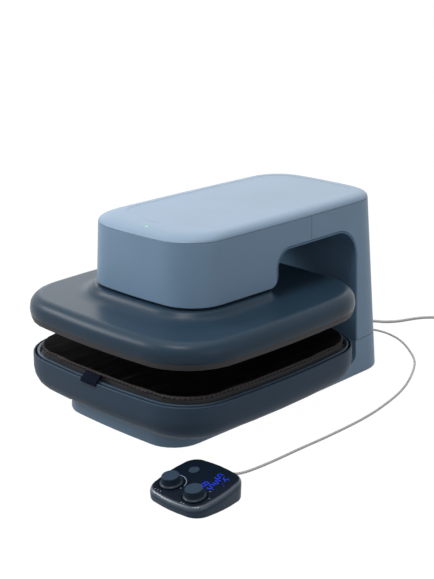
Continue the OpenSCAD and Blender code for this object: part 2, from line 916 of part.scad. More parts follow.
module control_board() {
    z = beam_z1;
    color("seagreen")
        union() {
            translate([-side_plate_x - side_plate_t, 0, z])
                cube([2 * (side_plate_x + side_plate_t), control_len, pcb_t]);
            translate([-40, 20, z])
                cube([24, 24, 8]);
            translate([0, 60, z])
                cube([36, 20, 8]);
        }
}

module power_supply() {
    color("gray")
        union() {
            translate([-side_plate_x, column_y0 + 4, supply_z])
                cube([2 * side_plate_x, supply_d, 2]);
            translate([-supply_w / 2, column_y0 + 4, supply_z + 2])
                cube([supply_w, supply_d, supply_h]);
        }
}

module case_screws() {
    color("silver")
        union() {
            for (x = [-1, 1], z = [window_z0 + 9, window_z1 - 9])
                translate([x * (window_half - 9), back_wall(window_half - 9, z) - shell_wall - 5, z])
                    rotate([-90, 0, 0])
                        union() {
                            cylinder(d = 3, h = shell_wall + 5.2);
                            translate([0, 0, shell_wall + 5.2])
                                cylinder(d = 6, h = 2);
                        }
            for (x = [-1, 1], p = spacer_at)
                translate([x * (side_plate_x + side_plate_t), p[0], p[1]])
                    rotate([0, x * 90, 0])
                        cylinder(d = 10, h = 4);
        }
}

// upper platen

module platen_lip() {
    top = platen_low + lip_h;
    color("dimgray")
        loft([platen_ring(4, platen_low), platen_ring(3, platen_low + 0.5),
            platen_ring(1.8, platen_low + lip_h / 2), platen_ring(0.9, top), platen_ring(cover_wall + 3, top),
            platen_ring(heat_margin - 1, top), platen_ring(heat_margin - 1, platen_low)], closed = true);
}

module platen_cover() {
    w = cover_wall;
    z0 = platen_low + lip_h;
    zt = platen_top;
    up = head_bottom - 4 - zt;
    color("darkslateblue")
        loft(concat(
            [platen_ring(0.9, z0), platen_ring(0.1, z0 + 4)],
            [for (a = [0:18:90]) platen_ring(edge_r * (1 - cos(a)), platen_mid + (zt - platen_mid) * sin(a))],
            [for (p = shoulder) neck_ring(-p[0], zt + up * p[1])],
            [neck_ring(0, neck_top), neck_ring(w, neck_top), neck_ring(w, zt + up - w),
                neck_ring(-7, zt + up - w), neck_ring(-11, zt + 0.6 * up - w),
                neck_ring(-18, zt + 0.1 * up - w), neck_ring(-30, zt - w), platen_ring(edge_r, zt - w),
                platen_ring(w + 4, zt - w - 5), platen_ring(w, platen_mid + 2), platen_ring(w + 0.9, z0)]),
            closed = true);
}

module heat_plate() {
    color("silver")
        difference() {
            translate([0, 0, heat_face])
                linear_extrude(heat_t)
                    polygon(platen_plan(heat_margin));
            translate([0, 0, heat_top])
                element(element_d + 0.2);
        }
}

// tubular element laid in long runs with round returns
module element(d) {
    x0 = -run_pitch * (run_n - 1) / 2;
    for (i = [0:run_n - 1])
        translate([x0 + i * run_pitch, -press_y - run_half, 0])
            rotate([-90, 0, 0])
                cylinder(d = d, h = 2 * run_half);
    for (i = [0:run_n - 2])
        translate([x0 + (i + 0.5) * run_pitch, -press_y + (i % 2 == 0 ? 1 : -1) * run_half, 0])
            intersection() {
                rotate_extrude()
                    translate([run_pitch / 2, 0])
                        circle(d = d);
                translate([-100, i % 2 == 0 ? 0 : -100, -20])
                    cube([200, 100, 40]);
            }
}

module heating_element() {
    color("orangered")
        translate([0, 0, heat_top])
            element(element_d);
}

module insulation() {
    z0 = heat_top + element_d / 2 + 0.3;
    color("wheat")
        difference() {
            translate([0, 0, z0])
                linear_extrude(carrier_bottom - z0 - 0.3)
                    polygon(platen_plan(heat_margin + 8));
            for (p = standoff_at)
                translate([p[0], p[1] - press_y, z0 - 1])
                    cylinder(d = standoff_d + 1, h = 60);
            translate([0, -press_y + 60, z0 - 1])
                cylinder(d = 26, h = 60);
        }
}

module standoffs() {
    color("white")
        for (p = standoff_at)
            translate([p[0], p[1] - press_y, heat_top])
                cylinder(d = standoff_d, h = carrier_bottom - heat_top);
}

module platen_carrier() {
    color("lightgray")
        difference() {
            translate([0, 0, carrier_bottom])
                linear_extrude(carrier_t)
                    polygon(platen_plan(heat_margin + 14));
            for (x = [-1, 1])
                translate([x * rod_span / 2, -press_y, carrier_bottom - 1])
                    cylinder(d = rod_d, h = carrier_t + 2);
            translate([0, -press_y, carrier_bottom - 1])
                cylinder(d = screw_d, h = carrier_t + 2);
            for (p = standoff_at)
                translate([p[0], p[1] - press_y, carrier_bottom - 1])
                    cylinder(d = 5, h = carrier_t + 2);
        }
}

module lead_screw() {
    color("silver")
        translate([0, -press_y, 0])
            union() {
                translate([0, 0, carrier_bottom])
                    cylinder(d = screw_d, h = rod_top - carrier_bottom);
                translate([0, 0, carrier_top])
                    cylinder(d = screw_d + 2 * screw_flange_w, h = screw_flange_t);
            }
}

module guide_rods() {
    color("silver")
        for (x = [-1, 1])
            translate([x * rod_span / 2, -press_y, 0])
                union() {
                    translate([0, 0, carrier_bottom])
                        cylinder(d = rod_d, h = rod_top - carrier_bottom);
                    translate([0, 0, carrier_top])
                        cylinder(d = rod_d + 2 * rod_flange_w, h = rod_flange_t);
                }
}

module temp_sensor() {
    color("gold")
        translate([0, -press_y + 60, heat_top])
            cylinder(d = 18, h = carrier_bottom - heat_top - 4);
}

module platen_screws() {
    color("silver")
        for (p = standoff_at)
            translate([p[0], p[1] - press_y, carrier_top - 2])
                cylinder(d = 5, h = 2);
}

// lower tray

module tray_shell() {
    r = tray_round;
    ri = tray_round - tray_wall;
    zi = tray_floor;
    top = tray_rim;
    color("midnightblue")
        difference() {
            loft(concat(
                [for (a = [0:18:90]) tray_ring_at(r * (1 - sin(a)), tray_bottom + r * (1 - cos(a)))],
                [tray_ring_at(0, top - 1.4), tray_ring_at(0.4, top - 0.4), tray_ring_at(1.3, top),
                    tray_ring_at(tray_wall - 0.8, top), tray_ring_at(tray_wall, top - 0.8)],
                [for (a = [90:-22.5:0])
                    tray_ring_at(tray_wall + ri * (1 - sin(a)), zi + (top - 22 - zi) * (1 - cos(a)))]));
            translate([-recess_half, rail_front - 4, 0])
                cube([2 * recess_half, tray_d, recess_top]);
            finger_notch();
        }
}

// shallow finger recess in the tray's lower front edge
module finger_notch() {
    yf = -press_y - tray_d / 2;
    translate([0, yf - 10, 0])
        rotate([-90, 0, 0])
            linear_extrude(10 + tray_round * 0.75)
                polygon([[-notch_half - 16, 0], [-notch_half - 16, -tray_bottom], [-notch_half, -notch_top],
                    [notch_half, -notch_top], [notch_half + 16, -tray_bottom], [notch_half + 16, 0]]);
}

module tray_ring() {
    e = ring_out;
    top = tray_rim + ring_rise;
    z = board_z + board_t;
    color("midnightblue")
        loft([tray_ring_at(e, z), tray_ring_at(e, top - 0.8), tray_ring_at(e + 0.8, top),
            tray_ring_at(ring_in - 1.5, top), tray_ring_at(ring_in, top - 1.5), tray_ring_at(ring_in, z)],
            closed = true);
}

// board under the mat: a flange that carries the ring, and a raised pad
module lower_platen() {
    color("dimgray")
        union() {
            translate([0, 0, board_z])
                linear_extrude(board_t)
                    polygon(tray_plan(ring_out + 0.2));
            translate([0, 0, board_z])
                linear_extrude(mat_bottom - board_z)
                    polygon(tray_plan(pad_in));
            for (x = [-1, 0, 1], y = [-1, 0, 1])
                translate([x * board_post_x, y * board_post_y - press_y, tray_floor])
                    cylinder(d = board_post_d, h = board_z + 1 - tray_floor);
        }
}

module press_mat() {
    e = ring_in + mat_gap;
    h = mat_t;
    color("black")
        loft([tray_ring_at(e + 1.2, mat_bottom), tray_ring_at(e + 0.2, mat_bottom + 0.2 * h),
            tray_ring_at(e, mat_bottom + 0.5 * h), tray_ring_at(e + 0.5, mat_top - 0.25 * h),
            tray_ring_at(e + 2, mat_top - 0.1 * h), tray_ring_at(e + 6, mat_top - 0.04 * h),
            tray_ring_at(e + 40, mat_top)]);
}

// sewn loop tab: from the mat's side, over the groove, and down the outside of the rim
module mat_tab() {
    y0 = -press_y - tray_d / 2;
    ym = y0 + ring_in + mat_gap;
    r = tray_rim;
    t = 1.2;
    color("midnightblue")
        translate([tab_x, 0, 0])
            across(tab_w)
                polygon([
                    [ym - 0.2, mat_top - 4.5], [ym - 0.2, mat_top - 2.4], [ym - 2, mat_top - 1],
                    [ym - 4, mat_top - 1.2], [y0 + 1.5, r + 3.2], [y0 - 0.6, r + 1.4], [y0 - 1.7, r - 1],
                    [y0 - 2, r - 4], [y0 - 2 + t, r - 4], [y0 - 0.5, r - 1.2], [y0 + 0.4, r + 0.5],
                    [y0 + 2.4, r + 2.2], [ym - 3.6, mat_top - 2.4], [ym - 2.2, mat_top - 2.3],
                    [ym - 0.2 - t, mat_top - 3.2], [ym - 0.2 - t, mat_top - 4.5]]);
}

module tray_screws() {
    color("silver")
        for (x = [-1, 1], y = [rail_front + 40, rail_back - 40])
            translate([x * rail_x, y, tray_floor])
                cylinder(d = 8, h = 3);
}

// control pod

module pod_base() {
    w = pod_wall;
    f = pod_foot_h;
    z = -pod_seam - joint_gap / 2;
    color("midnightblue")
        difference() {
            loft([pod_ring(2.4, f), pod_ring(1.3, f + 0.6), pod_ring(0.6, f + 2), pod_slant(0, z),
                pod_slant(w, z), pod_ring(w + 1.2, f + 3.6), pod_ring(w + 3, f + w)]);
            translate([pod_cord_x0, pod_y, pod_out_z])
                rotate([-90, 0, 0])
                    cylinder(d = gland_hole(pod_cord_d), h = pod_d);
        }
}

// places a piece square to the pod's top face, with that face at zero height
module on_face(p) {
    translate([p[0], p[1], pod_face(p[1])])
        rotate([pod_tilt, 0, 0])
            children();
}

module pod_top() {
    w = pod_wall;
    z = -pod_seam + joint_gap / 2;
    color("midnightblue")
        difference() {
            loft([pod_slant(w + 5, -w), pod_slant(w + 1, -w - 2), pod_slant(w, z), pod_slant(0, z),
                pod_slant(0.2, -4.6), pod_slant(1.1, -2.4), pod_slant(2.8, -0.7), pod_slant(5.5, 0)]);
            for (p = knob_at)
                on_face(p)
                    union() {
                        translate([0, 0, -10])
                            cylinder(d = shaft_d + 6, h = 20);
                        translate([0, 0, -well_d])
                            cylinder(d = knob_d + 3.4, h = 10);
                    }
            on_face(button_at)
                translate([0, 0, -10])
                    cylinder(d = button_d + 2 * slide_clear, h = 20);
        }
}

// lamps of the digits, which shine through the dark top
module pod_display() {
    color("black")
        on_face(screen_at)
            translate([-screen_w / 2, -screen_d / 2, pcb_z])
                cube([screen_w, screen_d, -pcb_z - pod_wall - 0.2]);
}

module pod_board() {
    color("seagreen")
        difference() {
            on_face([pod_x, pod_y])
                union() {
                    translate([0, 0, pcb_z - pcb_t])
                        linear_extrude(pcb_t)
                            polygon(shifted(pod_plan(5), -pod_x, -pod_y));
                    for (p = post_at)
                        translate([p[0], p[1], pcb_z - pcb_t - 20])
                            cylinder(d = post_d, h = 20);
                }
            translate([pod_x - pod_w, pod_y - pod_d, -50])
                cube([2 * pod_w, 2 * pod_d, 50 + pod_foot_h + pod_wall]);
        }
}

module encoders() {
    color("silver")
        for (p = knob_at)
            on_face(p)
                translate([0, 0, pcb_z])
                    difference() {
                        union() {
                            translate([-6.5, -6.5, 0])
                                cube([13, 13, 5]);
                            cylinder(d = shaft_d + 3, h = -pcb_z - well_d - 0.3);
                        }
                        translate([0, 0, 1])
                            cylinder(d = shaft_d + 2 * run_clear, h = 40);
                    }
}

module knob(p) {
    r = knob_d / 2;
    z0 = knob_gap - well_d;
    on_face(p)
        union() {
            rotate_extrude()
                polygon([[0, z0], [r, z0], [r, z0 + 1.6], [r - 0.8, z0 + 2.4], [r - 2.6, z0 + 3],
                    [r - 3.6, z0 + knob_h - 1], [r - 4.6, z0 + knob_h], [0, z0 + knob_h]]);
            translate([0, 0, pcb_z + 2])
                cylinder(d = shaft_d, h = z0 + 1 - pcb_z - 2);
        }
}

module time_knob() {
    color("slategray")
        knob(knob_at[0]);
}

module temp_knob() {
    color("slategray")
        knob(knob_at[1]);
}

module power_button() {
    low = pcb_z + 3.3 + button_travel;
    color("slategray")
        on_face(button_at)
            union() {
                rotate_extrude()
                    polygon([[0, -4], [button_d / 2, -4], [button_d / 2, 0.7], [button_d / 2 - 0.5, 1.2],
                        [0, 1.2]]);
                translate([0, 0, low])
                    cylinder(d = 5, h = -3 - low);
            }
}

module button_switch() {
    color("black")
        on_face(button_at)
            translate([0, 0, pcb_z])
                union() {
                    translate([-switch_w / 2, -switch_w / 2, 0])
                        cube([switch_w, switch_w, 2]);
                    cylinder(d = switch_w / 2, h = 3);
                }
}

module pod_feet() {
    color("black")
        for (x = [-1, 1], y = [-1, 1])
            translate([pod_x + x * 30, pod_y + y * 30, 0])
                cylinder(d = 10, h = pod_foot_h);
}

module pod_screws() {
    color("silver")
        on_face([pod_x, pod_y])
            for (p = post_at)
                translate([p[0], p[1], pcb_z])
                    cylinder(d = post_d, h = 2);
}

// cords

function unit(v) = v / norm(v);
// smooth points through a route, a few between each pair
function spline(p, n) = concat([for (i = [0:len(p) - 2]) for (k = [0:n - 1]) let(
        t = k / n,
        a = p[max(i - 1, 0)], b = p[i], c = p[i + 1], d = p[min(i + 2, len(p) - 1)]
    ) b + 0.5 * ((c - a) * t + (2 * a - 5 * b + 4 * c - d) * t * t + (3 * b - a - 3 * c + d) * t * t * t)],
    [p[len(p) - 1]]);
function sum_of(v) = v * [for (q = v) 1];
function length_of(p) = sum_of([for (i = [0:len(p) - 2]) norm(p[i + 1] - p[i])]);
// ring of a tube square to its route
function tube_ring(p, i, r, n) = let(
    d = unit(p[min(i + 1, len(p) - 1)] - p[max(i - 1, 0)]),
    s = unit(cross(d, [0, 0, 1])),
    u = cross(s, d)
) [for (k = [0:n - 1]) let(a = 360 * (k + 0.5) / n) p[i] + r * cos(a) * s + r * sin(a) * u];
module tube(p, d, n) {
    r = d / 2;
    rings = [for (i = [0:len(p) - 1]) tube_ring(p, i, r, n)];
    m = len(p);
    sides = [for (j = [0:m - 2]) for (i = [0:n - 1])
        let(a = j * n + i, b = j * n + (i + 1) % n, c = (j + 1) * n + i, e = (j + 1) * n + (i + 1) % n)
        each [[a, b, e], [a, e, c]]];
    caps = concat([for (i = [1:n - 2]) [0, i + 1, i]],
        [for (i = [1:n - 2]) [(m - 1) * n, (m - 1) * n + i, (m - 1) * n + i + 1]]);
    polyhedron(points = [for (q = rings) each q], faces = concat(sides, caps));
}

mains_path = spline(mains_points, 2);
pod_path = spline(pod_points, 2);

module mains_cord() {
    color("lightgray")
        tube(mains_path, mains_d, 10);
}

module pod_cord() {
    color("lightgray")
        tube(pod_path, pod_cord_d, 8);
}

// radius and height of the coil after u turns
function coil_r(u) = u < coil_half ? coil_out - coil_pitch * u
    : u < coil_half + 0.5 ? coil_in
    : coil_in + coil_pitch * (u - coil_half - 0.5);
function coil_z(u) = let(t = max(0, min(1, (u - coil_half) / 0.5)))
    mains_r + coil_lift + coil_layer * t * t * (3 - 2 * t);
coil_turns = 2 * coil_half + 0.5;
coil_winding = [for (k = [0:coil_turns * loop_steps]) let(u = k / loop_steps, a = -90 + 360 * u)
    [coil_c[0] + coil_r(u) * cos(a), coil_c[1] + coil_r(u) * sin(a), coil_z(u)]];
coil_last = coil_winding[len(coil_winding) - 1];
coil_head = [coil_start, coil_start + [mains_d, 0, 0]];
coil_tail = [for (d = [10, 16]) coil_last - [d, 0, 0]];
coil_path = concat(coil_head, coil_winding, coil_tail);

module mains_coil() {
    color("lightgray")
        tube(coil_path, mains_d, 6);
}

module coil_tie() {
    w = coil_out - coil_in + mains_d + 3;
    h = coil_lift + coil_layer + mains_d + 0.4 + tie_t;
    color("black")
        translate([coil_c[0] + coil_in - mains_r - 1.5, coil_c[1], 0])
            rotate([90, 0, 0])
                linear_extrude(10, center = true)
                    difference() {
                        square([w, h]);
                        translate([1, tie_t])
                            square([w - 2, h - 2 * tie_t]);
                    }
}

module mains_plug() {
    color("gainsboro")
        translate([coil_last[0] - 16, coil_last[1], coil_last[2]])
            rotate([0, -90, 0])
                union() {
                    cylinder(d1 = mains_d + 2, d2 = mains_d + 6, h = 14);
                    translate([-coil_last[2], -11, 14])
                        cube([2 * coil_last[2], 22, 22]);
                    translate([-3, -8, 36])
                        cube([6, 1.5, 17]);
                    translate([-3, 6.5, 36])
                        cube([6, 1.5, 17]);
                }
}

// tapered strain relief, its root in the wall and its tip on the cord
module gland(d, len) {
    hole = gland_hole(d);
    rotate_extrude()
        polygon([[d / 2, -shell_wall - 2], [hole / 2, -shell_wall - 2], [hole / 2, 0], [hole / 2 + 2, 0],
            [hole / 2 + 2, 2.5], [hole / 2 - 0.5, 4], [d / 2 + 0.8, len], [d / 2, len]]);
}

module mains_gland() {
    color("lightgray")
        translate([mains_x, gland_y(mains_x), gland_z])
            rotate([-90, 0, 0])
                gland(mains_d, mains_relief);
}

module pod_glands() {
    color("lightgray")
        union() {
            translate([pod_gland_x, gland_y(pod_gland_x), gland_z])
                rotate([-90, 0, 0])
                    gland(pod_cord_d, pod_relief);
            translate([pod_cord_x0, pod_seat_y, pod_out_z])
                rotate([-90, 0, 0])
                    gland(pod_cord_d, pod_relief);
        }
}

// least gap of the coil to itself, measured between points that lie half a loop or more apart
coil_gap = min([for (i = [0:len(coil_path) - 1]) for (j = [i + loop_steps / 2:1:len(coil_path) - 1])
    norm(coil_path[i] - coil_path[j])]) - mains_d;
echo(coil_self_gap_mm = coil_gap);
echo(mains_cord_mm = length_of(mains_path), coil_mm = length_of(coil_path));
echo(pod_cord_mm = length_of(pod_path), press_travel_mm = press_travel);
echo(gear_ratio = gear_teeth / pinion_teeth, gear_turns = press_travel / screw_lead);

base_shell();
base_plate();
base_chassis();
rubber_feet();
fixed_rails();
column_shell();
head_shell();
arch_liner();
top_lid();
rear_cover();
status_led();
frame_plates();
frame_spacers();
press_plate();
guide_bushes();
gear_case();
nut_bearings();
press_motor();
control_board();
power_supply();
case_screws();
drive_gear();
motor_pinion();
platen_cover();
platen_lip();
heat_plate();
heating_element();
insulation();
platen_carrier();
standoffs();
lead_screw();
guide_rods();
temp_sensor();
platen_screws();
tray_shell();
tray_ring();
lower_platen();
press_mat();
mat_tab();
tray_runners();
tray_screws();
pod_base();
pod_top();
pod_display();
pod_board();
encoders();
button_switch();
pod_feet();
pod_screws();
time_knob();
temp_knob();
power_button();
mains_gland();
pod_glands();
mains_cord();
mains_coil();
coil_tie();
mains_plug();
pod_cord();
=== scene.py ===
"""Looks of the automatic heat press: finishes, eased shells, mat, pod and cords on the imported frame."""

from __future__ import annotations

import logging
import math
from dataclasses import dataclass
from enum import Enum
from typing import Any, Callable, Sequence

import bpy
from mathutils import Matrix, Vector

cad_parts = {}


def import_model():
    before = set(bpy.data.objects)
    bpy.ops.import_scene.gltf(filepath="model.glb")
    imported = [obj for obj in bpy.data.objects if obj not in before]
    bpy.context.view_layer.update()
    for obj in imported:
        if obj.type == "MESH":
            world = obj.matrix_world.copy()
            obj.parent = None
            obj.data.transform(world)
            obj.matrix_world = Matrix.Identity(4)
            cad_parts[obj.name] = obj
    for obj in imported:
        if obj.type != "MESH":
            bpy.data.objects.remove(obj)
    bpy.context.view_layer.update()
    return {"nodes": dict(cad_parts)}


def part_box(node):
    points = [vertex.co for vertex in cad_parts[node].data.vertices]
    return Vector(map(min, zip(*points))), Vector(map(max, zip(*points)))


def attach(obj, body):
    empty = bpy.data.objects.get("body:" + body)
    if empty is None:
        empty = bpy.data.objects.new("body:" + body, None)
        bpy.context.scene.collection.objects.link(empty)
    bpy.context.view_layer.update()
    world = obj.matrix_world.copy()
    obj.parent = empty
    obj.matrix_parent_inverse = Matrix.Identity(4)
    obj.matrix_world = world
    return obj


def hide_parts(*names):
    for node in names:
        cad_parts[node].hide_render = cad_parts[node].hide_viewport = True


LOG = logging.getLogger("heat_press")
MM = 0.001  # a millimetre in metres
POD_TILT = 8.5  # slope of the pod's top in degrees
WELD = 2e-6  # points nearer than this, in metres, are one
FLAT_ANGLE = 0.2  # faces of a CAD node that meet at less are one, in degrees
EASE_ANGLE = 32.0  # edges sharper than this are eased
TURN_ANGLE = 34.0  # edges up to this are shaded smooth on turned pieces
STEPS = 96  # points round a turned piece
GRAIN_SCALE = 1500.0  # repeats of a moulding's grain in a metre
GRAIN_DEPTH = 0.0002  # its depth in metres
Colour = tuple[float, float, float]
Point = tuple[float, float, float]
Place = tuple[float, float]
Piece = bpy.types.Object


@dataclass
class Sock:
    """A shader socket that takes part in plain arithmetic."""

    graph: Graph
    socket: bpy.types.NodeSocket

    def __add__(self, other: Any) -> Sock:
        """Sum, with the plain number on either side."""
        return self.graph.math("ADD", self, other)

    def __sub__(self, other: Any) -> Sock:
        """Difference."""
        return self.graph.math("SUBTRACT", self, other)

    def __rsub__(self, other: Any) -> Sock:
        """Difference with a plain number first."""
        return self.graph.math("SUBTRACT", other, self)

    def __mul__(self, other: Any) -> Sock:
        """Product, with the plain number on either side."""
        return self.graph.math("MULTIPLY", self, other)

    __radd__ = __add__
    __rmul__ = __mul__

    def sine(self) -> Sock:
        """Sine of an angle in radians."""
        return self.graph.math("SINE", self)

    def ramp(self, low: float, high: float) -> Sock:
        """Smooth step from 0 at low to 1 at high."""
        return self.graph.value("ShaderNodeMapRange", {"interpolation_type": "SMOOTHSTEP"},
                                {"Value": self, "From Min": low, "From Max": high})


class Graph:
    """The node tree of one material."""

    def __init__(self, tree: bpy.types.NodeTree) -> None:
        """Starts from an empty tree."""
        self.tree = tree
        tree.nodes.clear()

    def feed(self, socket: bpy.types.NodeSocket, value: Any) -> None:
        """Links a socket or sets its value.

        Args:
            socket: the input to feed.
            value: a Sock, a number, a colour or a vector.
        """
        if isinstance(value, Sock):
            self.tree.links.new(value.socket, socket)
        elif socket.type == "RGBA" and len(value) == 3:
            socket.default_value = (*value, 1.0)
        else:
            socket.default_value = value

    def node(self, kind: str, settings: dict[str, Any] | None = None,
             inputs: dict[Any, Any] | None = None) -> bpy.types.Node:
        """Creates any node.

        Args:
            kind: the node's type.
            settings: attributes, set before the inputs.
            inputs: values or sockets by input name or number.

        Returns:
            The new node.
        """
        made = self.tree.nodes.new(kind)
        for key, value in (settings or {}).items():
            setattr(made, key, value)
        for key, value in (inputs or {}).items():
            self.feed(made.inputs[key], value)
        return made

    def value(self, kind: str, settings: dict[str, Any] | None = None, inputs: dict[Any, Any] | None = None,
              out: Any = 0) -> Sock:
        """One output of a new node, by its number or name."""
        return Sock(self, self.node(kind, settings, inputs).outputs[out])

    def math(self, operation: str, *values: Any) -> Sock:
        """One Math node on up to three values."""
        return self.value("ShaderNodeMath", {"operation": operation}, dict(enumerate(values)))

    def place(self, scale: Point = (1.0, 1.0, 1.0)) -> Sock:
        """Object coordinates, stretched along each axis by a Mapping node."""
        coords = self.value("ShaderNodeTexCoord", out="Object")
        return self.value("ShaderNodeMapping", None, {"Vector": coords, "Scale": scale})

    def axis(self, letter: str) -> Sock:
        """One Object coordinate by its letter, in metres."""
        return self.value("ShaderNodeSeparateXYZ", None, {0: self.place()}, letter)

    def noise(self, scale: float, detail: float = 2.0, where: Sock | None = None) -> Sock:
        """Noise from 0 to 1 with so many repeats in a metre, at the object's own coordinates by default."""
        return self.value("ShaderNodeTexNoise", None, {
            "Vector": where or self.place(), "Scale": scale, "Detail": detail})

    def blend(self, factor: Any, first: Any, second: Any) -> Sock:
        """Mixes two colours by a factor."""
        return self.value("ShaderNodeMix", {"data_type": "RGBA"}, {0: factor, 6: first, 7: second}, 2)

    def bump(self, height: Sock, strength: float, depth: float) -> Sock:
        """Normal bent by a height from 0 to 1, with its strength and its depth in metres."""
        return self.value("ShaderNodeBump", None, {
            "Strength": strength, "Distance": depth, "Height": height})

    def tones(self, factor: Any, colour: Colour, first: float, second: float) -> Sock:
        """Mixes two shades of one colour by a factor."""
        return self.blend(factor, *(tuple(part * level for part in colour) for level in (first, second)))

    def surface(self, colour: Sock, rough: Any, normal: Sock | None = None,
                more: dict[str, Any] | None = None) -> None:
        """Ends the tree in one Principled shader.

        Args:
            colour: its base colour.
            rough: its roughness.
            normal: its bent normal, if any.
            more: other inputs by name.
        """
        inputs = {"Base Color": colour, "Roughness": rough, **(more or {})}
        if normal:
            inputs["Normal"] = normal
        shader = self.value("ShaderNodeBsdfPrincipled", None, inputs)
        self.node("ShaderNodeOutputMaterial", None, {"Surface": shader})


@dataclass(frozen=True)
class Finish:
    """What every finish has: a name, and one material made at its first use.

    Scales of patterns are in repeats in a metre, other lengths in metres.
    """

    name: str

    def material(self) -> bpy.types.Material:
        """The finish's material.

        Returns:
            The material, drawn once.
        """
        title = "finish_" + self.name
        made = bpy.data.materials.get(title)
        if made is None:
            made = bpy.data.materials.new(title)
            made.use_nodes = True
            self.draw(Graph(made.node_tree))
        return made

    def draw(self, graph: Graph) -> None:
        """Draws the node tree; each finish has its own."""
        raise NotImplementedError(self.name)


@dataclass(frozen=True)
class Moulded(Finish):
    """Satin moulded plastic with a fine spark grain and a slow drift of tone."""

    colour: Colour
    rough: float = 0.42
    grain: float = 0.12
    shine: float = 0.3

    def draw(self, graph: Graph) -> None:
        """Grain in the bump and the gloss, drift in the colour.

        Args:
            graph: the tree to fill.
        """
        drift = graph.noise(7.0, 3.0)
        grain = graph.noise(GRAIN_SCALE)
        graph.surface(
            graph.tones(drift.ramp(0.3, 0.7), self.colour, 0.95, 1.05),
            self.rough + (grain - 0.5) * 0.08 + (drift - 0.5) * 0.05,
            graph.bump(grain, self.grain, GRAIN_DEPTH), {"Specular IOR Level": self.shine})


@dataclass(frozen=True)
class SideShadeAndRimHighlight(Finish):
    """Dark printed top face with a side colour set by how far the face turns. On the knobs the darker side
    is painted shade. On the pod the sides carry the case's own slate, which on the rounded edge is also
    painted highlight. A clear coat lies where it rounds over, polished by hands.

    rim and coat are cosines of the turn from the slope between which the rim and its coat set in.
    """

    colour: Colour
    side: Colour
    rough: float = 0.28
    grain: float = 0.015
    shine: float = 0.2
    polish: float = 0.9
    rim: Place = (0.86, 0.995)
    coat: Place = (0.3, 0.7)
    coat_rough: float = 0.34

    def draw(self, graph: Graph) -> None:
        """Fine grain all over; colour and clear coat by how far the face turns from the slope. The side
        colour is painted shade on the knobs, and partly painted highlight on the pod's rounded edge.

        Args:
            graph: the tree to fill.
        """
        slope = math.radians(POD_TILT)
        normal = graph.value("ShaderNodeTexCoord", out="Normal")
        level = graph.value("ShaderNodeVectorMath", {"operation": "DOT_PRODUCT"}, {
            0: normal, 1: (0.0, -math.sin(slope), math.cos(slope))}, "Value")
        rim = 1.0 - level.ramp(*self.rim)
        drift = graph.noise(9.0, 3.0)
        grain = graph.noise(GRAIN_SCALE)
        graph.surface(
            # side colour on turned faces: painted shade on the knobs, case slate plus painted highlight on
            # the pod's rounded edge
            graph.blend(rim * (0.9 + drift * 0.2), self.colour, self.side),
            self.rough + (grain - 0.5) * 0.06 + (drift - 0.5) * 0.05,
            graph.bump(grain, self.grain, GRAIN_DEPTH),
            {"Coat Weight": rim * level.ramp(*self.coat) * self.polish,
             "Coat Roughness": self.coat_rough, "Specular IOR Level": self.shine})


@dataclass(frozen=True)
class Metal(Finish):
    """Machined metal with fine lines along one axis and faint stains."""

    colour: Colour
    rough: float = 0.32
    lines: Point = (30.0, 900.0, 900.0)
    stain: float = 25.0

    def draw(self, graph: Graph) -> None:
        """Lines in gloss and bump, stains in the colour.

        Args:
            graph: the tree to fill.
        """
        lines = graph.noise(1.0, 3.0, graph.place(self.lines))
        stain = graph.noise(self.stain, 4.0)
        graph.surface(
            graph.tones(stain.ramp(0.35, 0.75), self.colour, 1.0, 0.82), self.rough + (lines - 0.5) * 0.18,
            graph.bump(lines, 0.15, 0.0002), {"Metallic": 1.0})


@dataclass(frozen=True)
class Coating(Finish):
    """Dark non-stick coating on the heat plate, with fine speckle."""

    colour: Colour
    speckle: float = 900.0

    def draw(self, graph: Graph) -> None:
        """Speckle in colour and bump."""
        speckle = graph.noise(self.speckle, 3.0)
        graph.surface(
            graph.tones(speckle.ramp(0.58, 0.72), self.colour, 1.0, 2.2), 0.38 + (speckle - 0.5) * 0.2,
            graph.bump(speckle, 0.1, 0.0003), {"Metallic": 0.35})


@dataclass(frozen=True)
class Felt(Finish):
    """Brushed black cover of the mat, with a paler sewn side below its top."""

    top: Colour
    side: Colour
    edge_z: float
    edge_band: Place = (-0.0006, 0.0004)
    fibre: Point = (620.0, 26.0, 300.0)
    streak: Point = (70.0, 5.0, 40.0)
    weave: float = 2600.0

    def draw(self, graph: Graph) -> None:
        """Fibres that run front to back, and the side's colour by height.

        Args:
            graph: the tree to fill.
        """
        fibres = graph.noise(1.0, 4.0, graph.place(self.fibre))
        streak = graph.noise(1.0, 3.0, graph.place(self.streak))
        weave = graph.noise(self.weave)
        up = graph.axis("Z").ramp(*(self.edge_z + part for part in self.edge_band))
        pile = graph.tones(fibres.ramp(0.4, 0.75) * streak.ramp(0.4, 0.75), self.top, 1.0, 44.0)
        side = graph.tones(weave, self.side, 0.75, 1.25)
        graph.surface(
            graph.blend(up, side, pile), 0.72 + (fibres - 0.5) * 0.25,
            graph.bump(fibres * up + weave * (1.0 - up), 0.35, 0.0004), {"Specular IOR Level": 0.02})


@dataclass(frozen=True)
class Webbing(Finish):
    """Tightly woven ribbon."""

    colour: Colour
    pitch: float = 0.0007

    def draw(self, graph: Graph) -> None:
        """Crossing threads in colour and bump.

        Args:
            graph: the tree to fill.
        """
        turn = 2.0 * math.pi / self.pitch
        warp = (graph.axis("X") * turn).sine()
        weft = ((graph.axis("Y") - graph.axis("Z")) * turn).sine()
        thread = (warp * weft) * 0.5 + 0.5
        graph.surface(
            graph.tones(thread, self.colour, 0.6, 1.3), 0.8 + (thread - 0.5) * 0.2,
            graph.bump(thread, 0.5, 0.0003), {"Specular IOR Level": 0.05})


